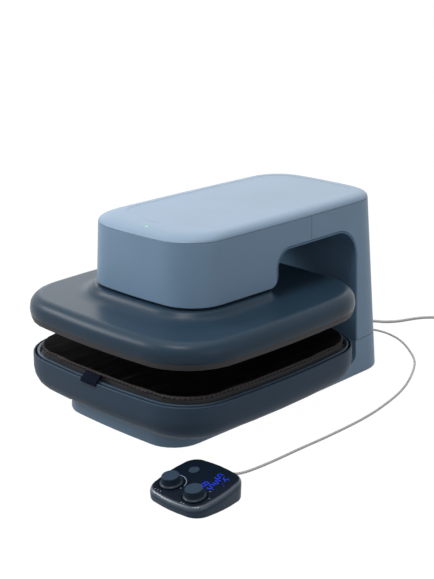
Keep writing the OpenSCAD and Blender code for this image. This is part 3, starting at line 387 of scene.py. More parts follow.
@dataclass(frozen=True)
class Rubber(Finish):
    """Matt rubber or soft jacket with a dusty bloom."""

    colour: Colour
    rough: float = 0.7
    ribs: float = 0.0
    bloom: float = 160.0
    skin: float = 2200.0

    def draw(self, graph: Graph) -> None:
        """Bloom in colour and gloss; ribs across the Y axis where there are any.

        Args:
            graph: the tree to fill.
        """
        bloom = graph.noise(self.bloom, 4.0)
        skin = graph.noise(self.skin)
        height = skin * 0.08
        if self.ribs > 0.0:
            height = height + (graph.axis("Y") * (2.0 * math.pi / self.ribs)).sine().ramp(-0.4, 0.4)
        graph.surface(
            graph.tones(bloom.ramp(0.4, 0.8), self.colour, 1.0, 1.08), self.rough + (bloom - 0.5) * 0.15,
            graph.bump(height, 0.3, 0.0005))


@dataclass(frozen=True)
class PlugFinish(Finish):
    """Moulded plug body with plated blades in front of one plane."""

    body: Colour
    blade: Colour
    blade_x: float

    def draw(self, graph: Graph) -> None:
        """Blades by their place along X.

        Args:
            graph: the tree to fill.
        """
        blade = 1.0 - graph.axis("X").ramp(self.blade_x - 0.0001, self.blade_x + 0.0001)
        skin = graph.noise(900.0)
        graph.surface(
            graph.blend(blade, self.body, self.blade), 0.55 - blade * 0.3 + (skin - 0.5) * 0.1,
            graph.bump(skin, 0.1, 0.0003), {"Metallic": blade})


@dataclass(frozen=True)
class Glow(Finish):
    """Lit segments behind a smoked panel, or a small lamp."""

    colour: Colour
    power: float

    def draw(self, graph: Graph) -> None:
        """Light with a slight unevenness."""
        uneven = graph.noise(700.0)
        graph.surface(graph.tones(uneven, self.colour, 0.2, 0.3), 0.4, None, {
            "Emission Color": graph.tones(uneven.ramp(0.3, 0.7), self.colour, 0.8, 1.0),
            "Emission Strength": self.power})


@dataclass(frozen=True)
class Circuit(Finish):
    """Circuit board with faint tracks."""

    colour: Colour
    tracks: Point = (260.0, 60.0, 60.0)

    def draw(self, graph: Graph) -> None:
        """Tracks as steps of a stretched noise."""
        track = graph.noise(1.0, 1.0, graph.place(self.tracks)).ramp(0.5, 0.52)
        graph.surface(
            graph.tones(track, self.colour, 1.0, 1.7), 0.35 + track * 0.1, graph.bump(track, 0.2, 0.0001))


@dataclass(frozen=True)
class Fibre(Finish):
    """Loose mineral wool or rough ceramic."""

    colour: Colour
    scale: float

    def draw(self, graph: Graph) -> None:
        """Rough clumps in colour and bump."""
        clump = graph.noise(self.scale, 5.0)
        graph.surface(graph.tones(clump, self.colour, 0.7, 1.0), 0.9, graph.bump(clump, 0.6, 0.001))


class Paint(Enum):
    """The finishes of the machine."""

    FRAME = Moulded("frame", (0.184, 0.289, 0.412), rough=0.44)
    # Arch liner: the frame's slate darkened, as painted shade for the arch's inside.
    LINER = Moulded("liner", (0.112, 0.196, 0.300), rough=0.55, shine=0.1)
    LID = Moulded("lid", (0.206, 0.291, 0.392), rough=0.44)
    PLATEN = Moulded("platen", (0.019, 0.040, 0.065), rough=0.33, shine=0.15)
    SKIRT = Moulded("skirt", (0.052, 0.050, 0.055), rough=0.55, shine=0.15)
    TRAY = Moulded("tray", (0.042, 0.068, 0.102), rough=0.5, shine=0.08)
    RING = Moulded("ring", (0.040, 0.068, 0.105), rough=0.34, shine=0.2)
    # Pod: dark top; its sides in the case's own slate, which on the rounded edge also stands as painted
    # highlight.
    POD = SideShadeAndRimHighlight("pod", (0.0036, 0.0082, 0.0168), (0.024, 0.045, 0.074))
    POD_BASE = Moulded("pod_base", (0.028, 0.050, 0.078), rough=0.4, shine=0.15)
    # Knob: lighter cap, and a darker side colour that is painted shade.
    KNOB = SideShadeAndRimHighlight("knob", (0.029, 0.050, 0.078), (0.012, 0.023, 0.037), rough=0.46, shine=0.05, polish=0.3)
    PRINT = Moulded("print", (0.20, 0.27, 0.36), rough=0.55, grain=0.02)
    # Black of the display window; also painted shade for the mat's holes and the knobs' wells.
    DARK = Moulded("dark", (0.002, 0.002, 0.0025), rough=0.7, shine=0.03)
    INNER = Moulded("inner", (0.05, 0.055, 0.06), rough=0.55)
    GEAR = Moulded("gear", (0.55, 0.53, 0.47), rough=0.45)
    COATING = Coating("coating", (0.018, 0.018, 0.020))
    STEEL = Metal("steel", (0.56, 0.57, 0.58))
    ALLOY = Metal("alloy", (0.72, 0.73, 0.74), rough=0.4)
    BRONZE = Metal("bronze", (0.55, 0.38, 0.18), rough=0.38)
    BOARD = Circuit("board", (0.010, 0.085, 0.035))
    CERAMIC = Fibre("ceramic", (0.78, 0.75, 0.68), 900.0)
    WOOL = Fibre("wool", (0.62, 0.58, 0.48), 350.0)
    FELT = Felt("felt", (0.0007, 0.0007, 0.0007), (0.072, 0.064, 0.066), 0.0956)
    TAG = Webbing("tag", (0.0035, 0.0065, 0.0150))
    FOOT = Rubber("foot", (0.015, 0.015, 0.016))
    CORD = Rubber("cord", (0.46, 0.46, 0.46), 0.6)
    GLAND = Rubber("gland", (0.44, 0.44, 0.44), 0.55, ribs=0.0032)
    TIE = Rubber("tie", (0.02, 0.02, 0.02), 0.6)
    PLUG = PlugFinish("plug", (0.44, 0.44, 0.44), (0.62, 0.57, 0.45), 0.066)
    DIGITS = Glow("digits", (0.004, 0.03, 0.62), 1.0)
    LAMP = Glow("lamp", (0.22, 0.80, 0.36), 1.0)


def clear() -> None:
    """Leaves edit mode and deselects everything."""
    if bpy.context.object and bpy.context.object.mode != "OBJECT":
        bpy.ops.object.mode_set(mode="OBJECT")
    bpy.ops.object.select_all(action="DESELECT")


def activate(obj: Piece) -> None:
    """Makes one object the only selected one.

    Args:
        obj: the object.
    """
    clear()
    obj.select_set(True)
    bpy.context.view_layer.objects.active = obj


def edit_all(obj: Piece) -> None:
    """Enters edit mode with everything selected.

    Args:
        obj: the mesh object.
    """
    activate(obj)
    bpy.ops.object.mode_set(mode="EDIT")
    bpy.ops.mesh.select_all(action="SELECT")


def started(name: str, add: Callable[..., Any], mode: str, stretch: Place = (1.0, 1.0),
            **settings: Any) -> Piece:
    """A new primitive in edit mode with everything selected.

    Args:
        name: the piece's name.
        add: the primitive's operator.
        mode: what is selected: VERT, EDGE or FACE.
        stretch: factors along x and y.
        settings: what the operator takes.

    Returns:
        The piece.
    """
    clear()
    add(**settings)
    made = bpy.context.object
    made.name = name
    made.scale = (*stretch, 1.0)
    bpy.ops.object.transform_apply(location=True, rotation=True, scale=True)
    bpy.ops.object.mode_set(mode="EDIT")
    bpy.ops.mesh.select_mode(type=mode)
    bpy.ops.mesh.select_all(action="SELECT")
    return made


def outward() -> None:
    """Turns every face of the piece in hand outwards and leaves edit mode."""
    bpy.ops.mesh.select_all(action="SELECT")
    bpy.ops.mesh.normals_make_consistent(inside=False)
    bpy.ops.object.mode_set(mode="OBJECT")


def apply(obj: Piece, kind: str, **settings: Any) -> None:
    """Adds one modifier and applies it.

    Args:
        obj: the mesh object.
        kind: the modifier's type.
        settings: its attributes.
    """
    activate(obj)
    made = obj.modifiers.new(kind.lower(), kind)
    for key, value in settings.items():
        setattr(made, key, value)
    bpy.ops.object.modifier_apply(modifier=made.name)


def smooth(obj: Piece, degrees: float) -> None:
    """Smooth shading up to an angle."""
    activate(obj)
    bpy.ops.object.shade_smooth_by_angle(angle=math.radians(degrees))


def merged(source: Piece, name: str) -> Piece:
    """A welded copy of a CAD node.

    Args:
        source: the CAD node's object.
        name: the copy's name.

    Returns:
        The copy, at the origin.
    """
    mesh = source.data.copy()
    mesh.materials.clear()
    copy = bpy.data.objects.new(name, mesh)
    bpy.context.scene.collection.objects.link(copy)
    edit_all(copy)
    bpy.ops.mesh.customdata_custom_splitnormals_clear()
    bpy.ops.mesh.remove_doubles(threshold=WELD)
    bpy.ops.mesh.dissolve_limited(angle_limit=math.radians(FLAT_ANGLE))
    bpy.ops.object.mode_set(mode="OBJECT")
    return copy


def eased(source: Piece, name: str, width: float) -> Piece:
    """A welded copy of a CAD node with its sharp edges eased.

    Args:
        source: the CAD node's object.
        name: the copy's name.
        width: width of the eased edges in metres.

    Returns:
        The copy.
    """
    copy = merged(source, name)
    apply(copy, "BEVEL", limit_method="ANGLE", angle_limit=math.radians(EASE_ANGLE),
          width=width, segments=2, use_clamp_overlap=False, miter_outer="MITER_ARC")
    smooth(copy, EASE_ANGLE)
    apply(copy, "WEIGHTED_NORMAL", keep_sharp=True)
    return copy


def turned(name: str, centre: Place, profile: Sequence[Place]) -> Piece:
    """A turned piece: a disc that is drawn up and resized ring by ring.

    Args:
        name: the piece's name.
        centre: the axis in x and y, in millimetres.
        profile: radius and height of each ring in millimetres, from the bottom.

    Returns:
        The piece.
    """
    radius, height = profile[0]
    x, y = centre[0] * MM, centre[1] * MM
    made = started(name, bpy.ops.mesh.primitive_circle_add, "FACE", vertices=STEPS,
                   radius=radius * MM, fill_type="NGON", location=(x, y, height * MM))
    for wide, high in profile[1:]:
        bpy.ops.mesh.extrude_region_move(
            TRANSFORM_OT_translate={"value": (0.0, 0.0, (high - height) * MM)})
        if wide != radius:
            factor = wide / radius
            bpy.ops.transform.resize(value=(factor, factor, 1.0), center_override=(x, y, high * MM))
        radius, height = wide, high
    outward()
    smooth(made, TURN_ANGLE)
    return made


def ring(name: str, centre: Point, inner: float, outer: float, steps: int) -> Piece:
    """A flat ring: a circle drawn out to a wider one.

    Args:
        name: the piece's name.
        centre: its middle in millimetres.
        inner: radius of its hole in millimetres.
        outer: its outer radius.
        steps: points around.

    Returns:
        The ring, one face thick.
    """
    middle = tuple(c * MM for c in centre)
    made = started(name, bpy.ops.mesh.primitive_circle_add, "EDGE", vertices=steps,
                   radius=inner * MM, fill_type="NOTHING", location=middle)
    bpy.ops.mesh.extrude_region_move()
    bpy.ops.transform.resize(value=(outer / inner, outer / inner, 1.0), center_override=middle)
    bpy.ops.object.mode_set(mode="OBJECT")
    return made


def plate(name: str, centre: Point, size: Point, corner: float) -> Piece:
    """A small flat bar with cut corners.

    Args:
        name: the piece's name.
        centre: the middle of its underside in millimetres.
        size: width, depth and height in millimetres.
        corner: size of the cut corners in millimetres.

    Returns:
        The piece.
    """
    made = started(name, bpy.ops.mesh.primitive_plane_add, "FACE", size[:2], size=MM,
                   location=tuple(c * MM for c in centre))
    bpy.ops.mesh.bevel(offset=corner * MM, affect="VERTICES", segments=1)
    bpy.ops.mesh.select_all(action="SELECT")
    bpy.ops.mesh.extrude_region_move(TRANSFORM_OT_translate={"value": (0.0, 0.0, size[2] * MM)})
    outward()
    return made


def joined(name: str, pieces: Sequence[Piece]) -> Piece:
    """Joins pieces into one object.

    Args:
        name: the name of the whole.
        pieces: the parts.

    Returns:
        The joined object.
    """
    clear()
    for piece in pieces:
        piece.select_set(True)
    bpy.context.view_layer.objects.active = pieces[0]
    bpy.ops.object.join()
    pieces[0].name = name
    return pieces[0]


@dataclass
class Assembly:
    """What the sub-assemblies share: the frame's nodes, and how a piece is dressed.

    EASED lists the nodes that get an eased copy: name, finish, slot and width of the edges in metres.
    The copies ride on BODY. PAINTED lists the nodes that stay as they are, with their finishes.
    """

    nodes: dict[str, Piece]
    BODY = "frame"
    EASED = ()
    PAINTED = {}

    def build(self) -> None:
        """Replaces the nodes to be eased and paints those that stay."""
        for name, paint, slot, width in self.EASED:
            copy = eased(self.nodes[name], name + "_eased", width)
            self.dress(copy, paint, self.BODY, slot, name)
        for name, paint in self.PAINTED.items():
            node = self.nodes[name]
            if not node.material_slots:
                node.data.materials.append(None)
            for place in node.material_slots:
                place.material = paint.value.material()
            LOG.info("node %s in %s", name, paint.name)

    def dress(self, obj: Piece, paint: Paint, body: str, slot: str, *replaced: str) -> None:
        """Gives a new piece its finish and body, and hides the CAD nodes it stands for.

        Args:
            obj: the piece.
            paint: its finish.
            body: the CAD body that it rides on.
            slot: the record's material slot; not used.
            replaced: CAD nodes that it stands for.
        """
        obj.data.materials.clear()
        obj.data.materials.append(paint.value.material())
        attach(obj, body)
        if replaced:
            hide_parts(*replaced)
        LOG.info("piece %s on %s", obj.name, body)


@dataclass
class Studio:
    """Camera, lamps, world and floor, in metres, degrees and watts; lens and sensor are in millimetres."""

    camera_at: Point = (1.22626, -1.30953, 0.73167)
    camera_turn: Point = (72.19, 0.0, 43.77)
    lens: float = 76.21
    sensor: float = 36.0
    far: float = 60.0
    world_level: float = 0.36
    floor_size: float = 24.0
    floor_tone: float = 0.26
    floor_white: float = 0.86
    floor_glow: float = 1.15
    lamps: tuple[tuple[str, Point, Point, Place, float], ...] = (
        ("top_panel", (-0.3, 0.0, 2.4), (0.0, 0.0, 0.2), (2.4, 2.4), 20.0),
        ("back_panel", (-2.4, 2.6, 1.5), (0.0, 0.0, 0.25), (3.4, 2.2), 20.0),
        ("left_panel", (-1.9, -1.4, 1.6), (0.0, -0.25, 0.15), (1.5, 0.7), 36.0),
        ("key_panel", (0.15, -0.9, 2.2), (0.05, -0.25, 0.1), (0.7, 0.5), 17.0),
        ("right_panel", (2.8, -0.4, 1.3), (0.1, 0.0, 0.2), (1.8, 1.4), 8.0))

    def build(self) -> None:
        """Sets up the camera first, then the light and the floor."""
        self.camera()
        self.world()
        for row in self.lamps:
            self.lamp(*row)
        self.floor()
        bpy.context.scene.view_settings.view_transform = "Standard"

    def camera(self) -> None:
        """The photograph's view."""
        data = bpy.data.cameras.new("photo_camera")
        data.lens = self.lens
        data.sensor_width = self.sensor
        data.clip_end = self.far
        camera = bpy.data.objects.new("photo_camera", data)
        camera.location = self.camera_at
        camera.rotation_euler = tuple(math.radians(a) for a in self.camera_turn)
        bpy.context.scene.collection.objects.link(camera)
        bpy.context.scene.camera = camera

    @staticmethod
    def seen(graph: Graph) -> Sock:
        """Tells where the camera sees a surface, straight, mirrored or through glass.

        Args:
            graph: the tree that asks.

        Returns:
            A socket that is 1 there and 0 for other light.
        """
        path = graph.node("ShaderNodeLightPath")
        straight, mirror, through = (
            Sock(graph, path.outputs[n]) for n in ("Is Camera Ray", "Is Glossy Ray", "Is Transmission Ray"))
        return graph.math("MINIMUM", straight + mirror + through, 1.0)

    def world(self) -> None:
        """Even light, white where it is seen."""
        world = bpy.data.worlds.new("studio")
        world.use_nodes = True
        graph = Graph(world.node_tree)
        level = self.seen(graph) * (1.0 - self.world_level) + self.world_level
        sky = graph.value("ShaderNodeBackground", None, {"Color": (1.0, 1.0, 1.0), "Strength": level})
        graph.node("ShaderNodeOutputWorld", None, {"Surface": sky})
        bpy.context.scene.world = world

    def lamp(self, name: str, at: Point, aim: Point, size: Place, power: float) -> None:
        """One soft panel.

        Args:
            name: the lamp's name.
            at: its place in metres.
            aim: the point it faces.
            size: width and height in metres.
            power: its power in watts.
        """
        data = bpy.data.lights.new(name, "AREA")
        data.shape = "RECTANGLE"
        data.size, data.size_y = size
        data.energy = power
        lamp = bpy.data.objects.new(name, data)
        lamp.location = at
        lamp.rotation_euler = (Vector(aim) - Vector(at)).to_track_quat("-Z", "Y").to_euler()
        bpy.context.scene.collection.objects.link(lamp)

    def floor(self) -> None:
        """A pale floor that is white to the camera and keeps a soft shadow."""
        clear()
        bpy.ops.mesh.primitive_plane_add(size=self.floor_size)
        floor = bpy.context.object
        floor.name = "studio_floor"
        made = bpy.data.materials.new("studio_floor")
        made.use_nodes = True
        graph = Graph(made.node_tree)
        matt = graph.value("ShaderNodeBsdfDiffuse", None, {"Color": (self.floor_tone,) * 3})
        white = graph.value("ShaderNodeEmission", None, {
            "Color": (1.0, 1.0, 1.0), "Strength": self.floor_glow})
        mixed = graph.value("ShaderNodeMixShader", None, {
            0: self.seen(graph) * self.floor_white, 1: matt, 2: white})
        graph.node("ShaderNodeOutputMaterial", None, {"Surface": mixed})
        floor.data.materials.append(made)


MAINS_ROUTE: tuple[Point, ...] = (
    (-45, 263.49, 34), (-45, 271.49, 34), (-45, 277.49, 34), (-45, 296, 26), (-44, 314, 14), (-42, 334, 6),
    (-38, 354, 2.5), (-27, 376, 2.5), (-11, 391, 2.5), (6, 402, 2.5), (20, 420, 2.5), (29, 442, 2.5),
    (38, 462, 2.5), (50, 478, 2.5), (66, 491, 2.5), (82, 499, 2.9), (98, 503, 3.3), (104, 503, 3.3),
    (110, 503, 3.3))
POD_ROUTE: tuple[Point, ...] = (
    (228.8, -252.6, 8), (228.8, -246.6, 8), (228.8, -241.6, 8), (231, -232, 5), (232, -216, 2.5),
    (234, -195, 1.8), (236, -160, 1.8), (237, -110, 1.8), (239, -46, 1.8), (238, 24, 1.8), (232, 82, 1.8),
    (217, 152, 1.8), (194, 212, 1.8), (160, 273, 1.8), (121, 313, 1.8), (82, 342, 1.8), (50, 355, 1.8),
    (28, 357, 1.8), (10, 353, 1.8), (-1, 342, 1.8), (-4, 328, 3), (1, 312, 9), (9, 298, 18), (16, 284, 27),
    (20, 267.95, 34), (20, 261.95, 34), (20, 255.95, 34))


@dataclass
class Cords(Assembly):
    """The mains cord with its coil and plug, and the pod's cord, in millimetres."""

    PAINTED = {"mains_plug": Paint.PLUG, "coil_tie": Paint.TIE, "mains_gland": Paint.GLAND,
               "pod_glands": Paint.GLAND}
    mains_d: float = 5.0
    pod_d: float = 3.6
    coil_centre: Place = (118.0, 542.5)
    coil_in: float = 20.0
    coil_out: float = 39.5
    coil_pitch: float = 6.5
    coil_low: float = 3.3
    coil_layer: float = 5.7
    half_turns: float = 3.0
    change: float = 0.5
    coil_entry: Place = (115.0, 503.0)
    coil_tail: Place = (10.0, 16.0)
    coil_steps: int = 36
    route_steps: int = 6
    round_steps: int = 5

    def smooth_route(self, points: Sequence[Point]) -> list[Vector]:
        """A smooth curve through points.

        Args:
            points: the route in millimetres.

        Returns:
            The curve's points in metres.
        """
        route = [Vector(p) * MM for p in points]
        padded = [route[0] * 2 - route[1]] + route + [route[-1] * 2 - route[-2]]
        out = []
        for i in range(1, len(padded) - 2):
            a, b, c, d = padded[i - 1:i + 3]
            for k in range(self.route_steps):
                t = k / self.route_steps
                out.append(0.5 * (b * 2 + (c - a) * t + (a * 2 - b * 5 + c * 4 - d) * t ** 2
                                  + (b * 3 - a - c * 3 + d) * t ** 3))
        return out + [route[-1]]

    def coil(self) -> list[Vector]:
        """The wound length: inwards on the floor, up a layer, and out again, with its tail.

        Returns:
            The coil's points in metres.
        """
        out = [Vector((*self.coil_entry, self.coil_low)) * MM]
        turns = 2 * self.half_turns + self.change
        for i in range(int(turns * self.coil_steps) + 1):
            u = i / self.coil_steps
            if u < self.half_turns:
                r = self.coil_out - self.coil_pitch * u
            elif u < self.half_turns + self.change:
                r = self.coil_in
            else:
                r = self.coil_in + self.coil_pitch * (u - self.half_turns - self.change)
            s = min(max((u - self.half_turns) / self.change, 0.0), 1.0)
            z = self.coil_low + self.coil_layer * s * s * (3 - 2 * s)
            a = math.radians(-90 + 360 * u)
            x, y = self.coil_centre
            out.append(Vector((x + r * math.cos(a), y + r * math.sin(a), z)) * MM)
        end = out[-1]
        return out + [end + Vector((-back * MM, 0, 0)) for back in self.coil_tail]

    def tube(self, name: str, points: Sequence[Vector], diameter: float) -> tuple[Piece, float]:
        """A round cord along points.

        Args:
            name: the cord's name.
            points: the route in metres.
            diameter: in millimetres.

        Returns:
            The curve object and its length in metres.
        """
        data = bpy.data.curves.new(name, "CURVE")
        data.dimensions = "3D"
        data.bevel_depth = diameter / 2 * MM
        data.bevel_resolution = self.round_steps
        data.use_fill_caps = True
        spline = data.splines.new("POLY")
        spline.points.add(len(points) - 1)
        for place, point in zip(spline.points, points):
            place.co = (*point, 1.0)
        spline.use_smooth = True
        made = bpy.data.objects.new(name, data)
        bpy.context.scene.collection.objects.link(made)
        return made, sum((b - a).length for a, b in zip(points, points[1:]))

    def build(self) -> None:
        """Makes both cords and dresses their ends."""
        super().build()
        points = self.smooth_route(MAINS_ROUTE) + self.coil()
        lead, length = self.tube("mains_lead", points, self.mains_d)
        self.dress(lead, Paint.CORD, "frame", "cord", "mains_cord", "mains_coil")
        link, length = self.tube("pod_lead", self.smooth_route(POD_ROUTE), self.pod_d)
        self.dress(link, Paint.CORD, "frame", "cord", "pod_cord")


@dataclass
class FrameShells(Assembly):
    """Base, column, head, arch liner, lid and rear cover."""

    EASED = (
        ("base_shell", Paint.FRAME, "frame_shell", 0.0007),
        ("column_shell", Paint.FRAME, "frame_shell", 0.0007),
        ("head_shell", Paint.FRAME, "frame_shell", 0.0007),
        ("arch_liner", Paint.LINER, "frame_shell", 0.0007),
        ("top_lid", Paint.LID, "lid_shell", 0.00042),
        ("rear_cover", Paint.FRAME, "frame_shell", 0.00035))
    PAINTED = {"base_plate": Paint.INNER, "rubber_feet": Paint.FOOT, "status_led": Paint.LAMP,
               "case_screws": Paint.STEEL}


@dataclass
class Drive(Assembly):
    """What is inside: chassis, rails, steel frame, motor, gears and boards."""

    PAINTED = {
        "base_chassis": Paint.STEEL, "fixed_rails": Paint.STEEL, "frame_plates": Paint.STEEL,
        "frame_spacers": Paint.ALLOY, "press_plate": Paint.STEEL, "guide_bushes": Paint.BRONZE,
        "gear_case": Paint.INNER, "nut_bearings": Paint.STEEL, "press_motor": Paint.INNER,
        "control_board": Paint.BOARD, "power_supply": Paint.ALLOY, "drive_gear": Paint.GEAR,
        "motor_pinion": Paint.BRONZE}


@dataclass
class Platen(Assembly):
    """The upper heat platen."""

    BODY = "platen"
    EASED = (
        ("platen_cover", Paint.PLATEN, "platen_shell", 0.0005),
        ("platen_lip", Paint.SKIRT, "platen_skirt", 0.0006),
        ("heat_plate", Paint.COATING, "heat_alloy", 0.0008))
    PAINTED = {
        "heating_element": Paint.STEEL, "insulation": Paint.WOOL, "platen_carrier": Paint.ALLOY,
        "standoffs": Paint.CERAMIC, "lead_screw": Paint.STEEL, "guide_rods": Paint.STEEL,
        "temp_sensor": Paint.ALLOY, "platen_screws": Paint.STEEL}


@dataclass
class Tray(Assembly):
    """The lower tray with its mat and tag.

    Sizes of mat and holes are in metres, the tag's in millimetres.
    """

    BODY = "tray"
    EASED = (
        ("tray_shell", Paint.TRAY, "tray_shell", 0.0007),
        ("tray_ring", Paint.RING, "tray_shell", 0.0005))
    PAINTED = {"lower_platen": Paint.INNER, "tray_runners": Paint.STEEL, "tray_screws": Paint.STEEL}
    CLOTH = {"quality": 5, "mass": 0.3, "tension_stiffness": 15.0, "compression_stiffness": 15.0,
             "bending_stiffness": 2.0, "use_pressure": True, "uniform_pressure_force": 3.0}
    cloth_steps: int = 12
    voxel: float = 0.004
    swell_cap: float = 0.0004
    start_low: float = 0.0004
    held_band: float = 0.002
    # The mat's side holes as dark cones, painted shade of the holes: pitch, radii, depth, sinking, points
    # and band.
    hole_pitch: float = 0.0075
    hole_wide: float = 0.0012
    hole_narrow: float = 0.0009
    hole_deep: float = 0.0008
    hole_sunk: float = 0.0003
    hole_points: int = 10
    hole_band: float = 0.0002
    tag_half: float = 16.0
    tag_thick: float = 1.0
    tag_edge: float = 0.25
    tag_angle: float = 50.0
    tag_x: float = -4.0
    tag_route: tuple[Place, ...] = (
        (-273.1, 92.5), (-273.1, 93.8), (-273.6, 94.9), (-274.6, 95.4), (-276.1, 95.2), (-278.2, 93.1),
        (-280.4, 90.9), (-282.5, 88.8), (-284.2, 87.4), (-285.1, 86.2), (-285.7, 84.6), (-285.9, 82.4))

    def build(self) -> None:
        """Eases shell and ring, then makes mat and tag."""
        super().build()
        mat = self.mat()
        self.dress(mat, Paint.FELT, "tray", "mat", "press_mat")
        # dark cones in the mat's side: painted shade of its stitch holes
        self.dress(self.stitch_hole_shade(mat), Paint.DARK, "tray", "mat")
        tag = self.tag()
        self.dress(tag, Paint.TAG, "tray", "tag", "mat_tab")

    def mat(self) -> Piece:
        """The press mat: the CAD solid remeshed, swollen a little by cloth and rounded.

        Returns:
            The mat.
        """
        mat = merged(self.nodes["press_mat"], "press_mat_pad")
        low = min(v.co.z for v in mat.data.vertices)
        high = max(v.co.z for v in mat.data.vertices)
        factor = (high - low - self.start_low) / (high - low)
        edit_all(mat)
        bpy.ops.transform.resize(value=(1.0, 1.0, factor), center_override=(0.0, 0.0, low))
        bpy.ops.object.mode_set(mode="OBJECT")
        apply(mat, "REMESH", mode="VOXEL", voxel_size=self.voxel, adaptivity=0.0)
        self.swell(mat, low)
        apply(mat, "SUBSURF", levels=1, render_levels=1)
        activate(mat)
        bpy.ops.object.shade_smooth()
        return mat

    def swell(self, mat: Piece, low: float) -> None:
        """Lets cloth pressure crown the mat, each point by no more than the cap.

        Args:
            mat: the remeshed mat.
            low: height of its underside.
        """
        before = [v.co.copy() for v in mat.data.vertices]
        group = mat.vertex_groups.new(name="rest")
        group.add([v.index for v in mat.data.vertices if v.co.z < low + self.held_band], 1.0, "REPLACE")
        activate(mat)
        cloth = mat.modifiers.new("cloth", "CLOTH")
        for key, value in self.CLOTH.items():
            setattr(cloth.settings, key, value)
        cloth.settings.effector_weights.gravity = 0.0
        cloth.settings.vertex_group_mass = "rest"
        scene = bpy.context.scene
        for step in range(1, self.cloth_steps + 1):
            scene.frame_set(step)
        bpy.ops.object.modifier_apply(modifier=cloth.name)
        for vertex, old in zip(mat.data.vertices, before):
            move = vertex.co - old
            if move.length > self.swell_cap:
                vertex.co = old + move.normalized() * self.swell_cap
        mat.vertex_groups.clear()
        scene.frame_set(1)

    def stitch_hole_shade(self, mat: Piece) -> Piece:
        """The row of small holes in the mat's side, drawn as dark cones whose black is painted shade.

        Args:
            mat: the finished mat.

        Returns:
            All holes as one piece.
        """
        source = self.nodes["press_mat"].data.vertices
        low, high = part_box("press_mat")
        middle = low[2] + 0.5 * (high[2] - low[2])
        outline = {(round(v.co.x, 5), round(v.co.y, 5)) for v in source
                   if abs(v.co.z - middle) < self.hole_band}
        centre = Vector(((low[0] + high[0]) / 2, (low[1] + high[1]) / 2))
        line = [Vector(p) for p in sorted(
            outline, key=lambda p: math.atan2(p[1] - centre.y, p[0] - centre.x))]
        line.append(line[0])
        spans = [(a, b, (b - a).length) for a, b in zip(line, line[1:])]
        count = round(sum(s[2] for s in spans) / self.hole_pitch)
        step = sum(s[2] for s in spans) / count
        first = started("hole", bpy.ops.mesh.primitive_cone_add, "FACE", vertices=self.hole_points,
                        radius1=self.hole_wide, radius2=self.hole_narrow, depth=self.hole_deep)
        outward()
        holes = []
        walked, target = 0.0, step / 2
        for a, b, length in spans:
            while target <= walked + length:
                at = a + (b - a) * ((target - walked) / length)
                target += step
                _, skin, out, _ = mat.closest_point_on_mesh(Vector((at.x, at.y, middle)))
                copy = first.copy()
                copy.data = first.data.copy()
                bpy.context.scene.collection.objects.link(copy)
                turn = out.to_track_quat("Z", "Y").to_matrix().to_4x4()
                copy.data.transform(Matrix.Translation(skin - out * self.hole_sunk) @ turn)
                holes.append(copy)
            walked += length
        bpy.data.objects.remove(first)
        return joined("mat_stitch_holes", holes)

    def tag(self) -> Piece:
        """The bare folded tag that comes out beside the mat and lies over ring and rim.

        Returns:
            The tag.
        """
        y, z = self.tag_route[0]
        at = (self.tag_x * MM, y * MM, z * MM)
        tag = started("mat_tag", bpy.ops.mesh.primitive_plane_add, "VERT", (2 * self.tag_half, 1.0),
                      size=MM, location=at)
        bpy.ops.transform.resize(value=(1.0, 0.0, 1.0), center_override=at)
        bpy.ops.mesh.remove_doubles(threshold=WELD)
        for (y0, z0), (y1, z1) in zip(self.tag_route, self.tag_route[1:]):
            bpy.ops.mesh.extrude_region_move(
                TRANSFORM_OT_translate={"value": (0.0, (y1 - y0) * MM, (z1 - z0) * MM)})
        bpy.ops.mesh.select_all(action="SELECT")
        bpy.ops.mesh.subdivide(number_cuts=1)
        outward()
        apply(tag, "SOLIDIFY", thickness=self.tag_thick * MM, offset=0.0)
        apply(tag, "BEVEL", width=self.tag_edge * MM, segments=2, limit_method="ANGLE",
              angle_limit=math.radians(self.tag_angle))
        smooth(tag, self.tag_angle)
        return tag


class Digit(Enum):
    """Lit bars of the numbers in use, clockwise from the top one, and the middle one last."""

    FOUR = "0110011"
    FIVE = "1011011"
    EIGHT = "1111111"


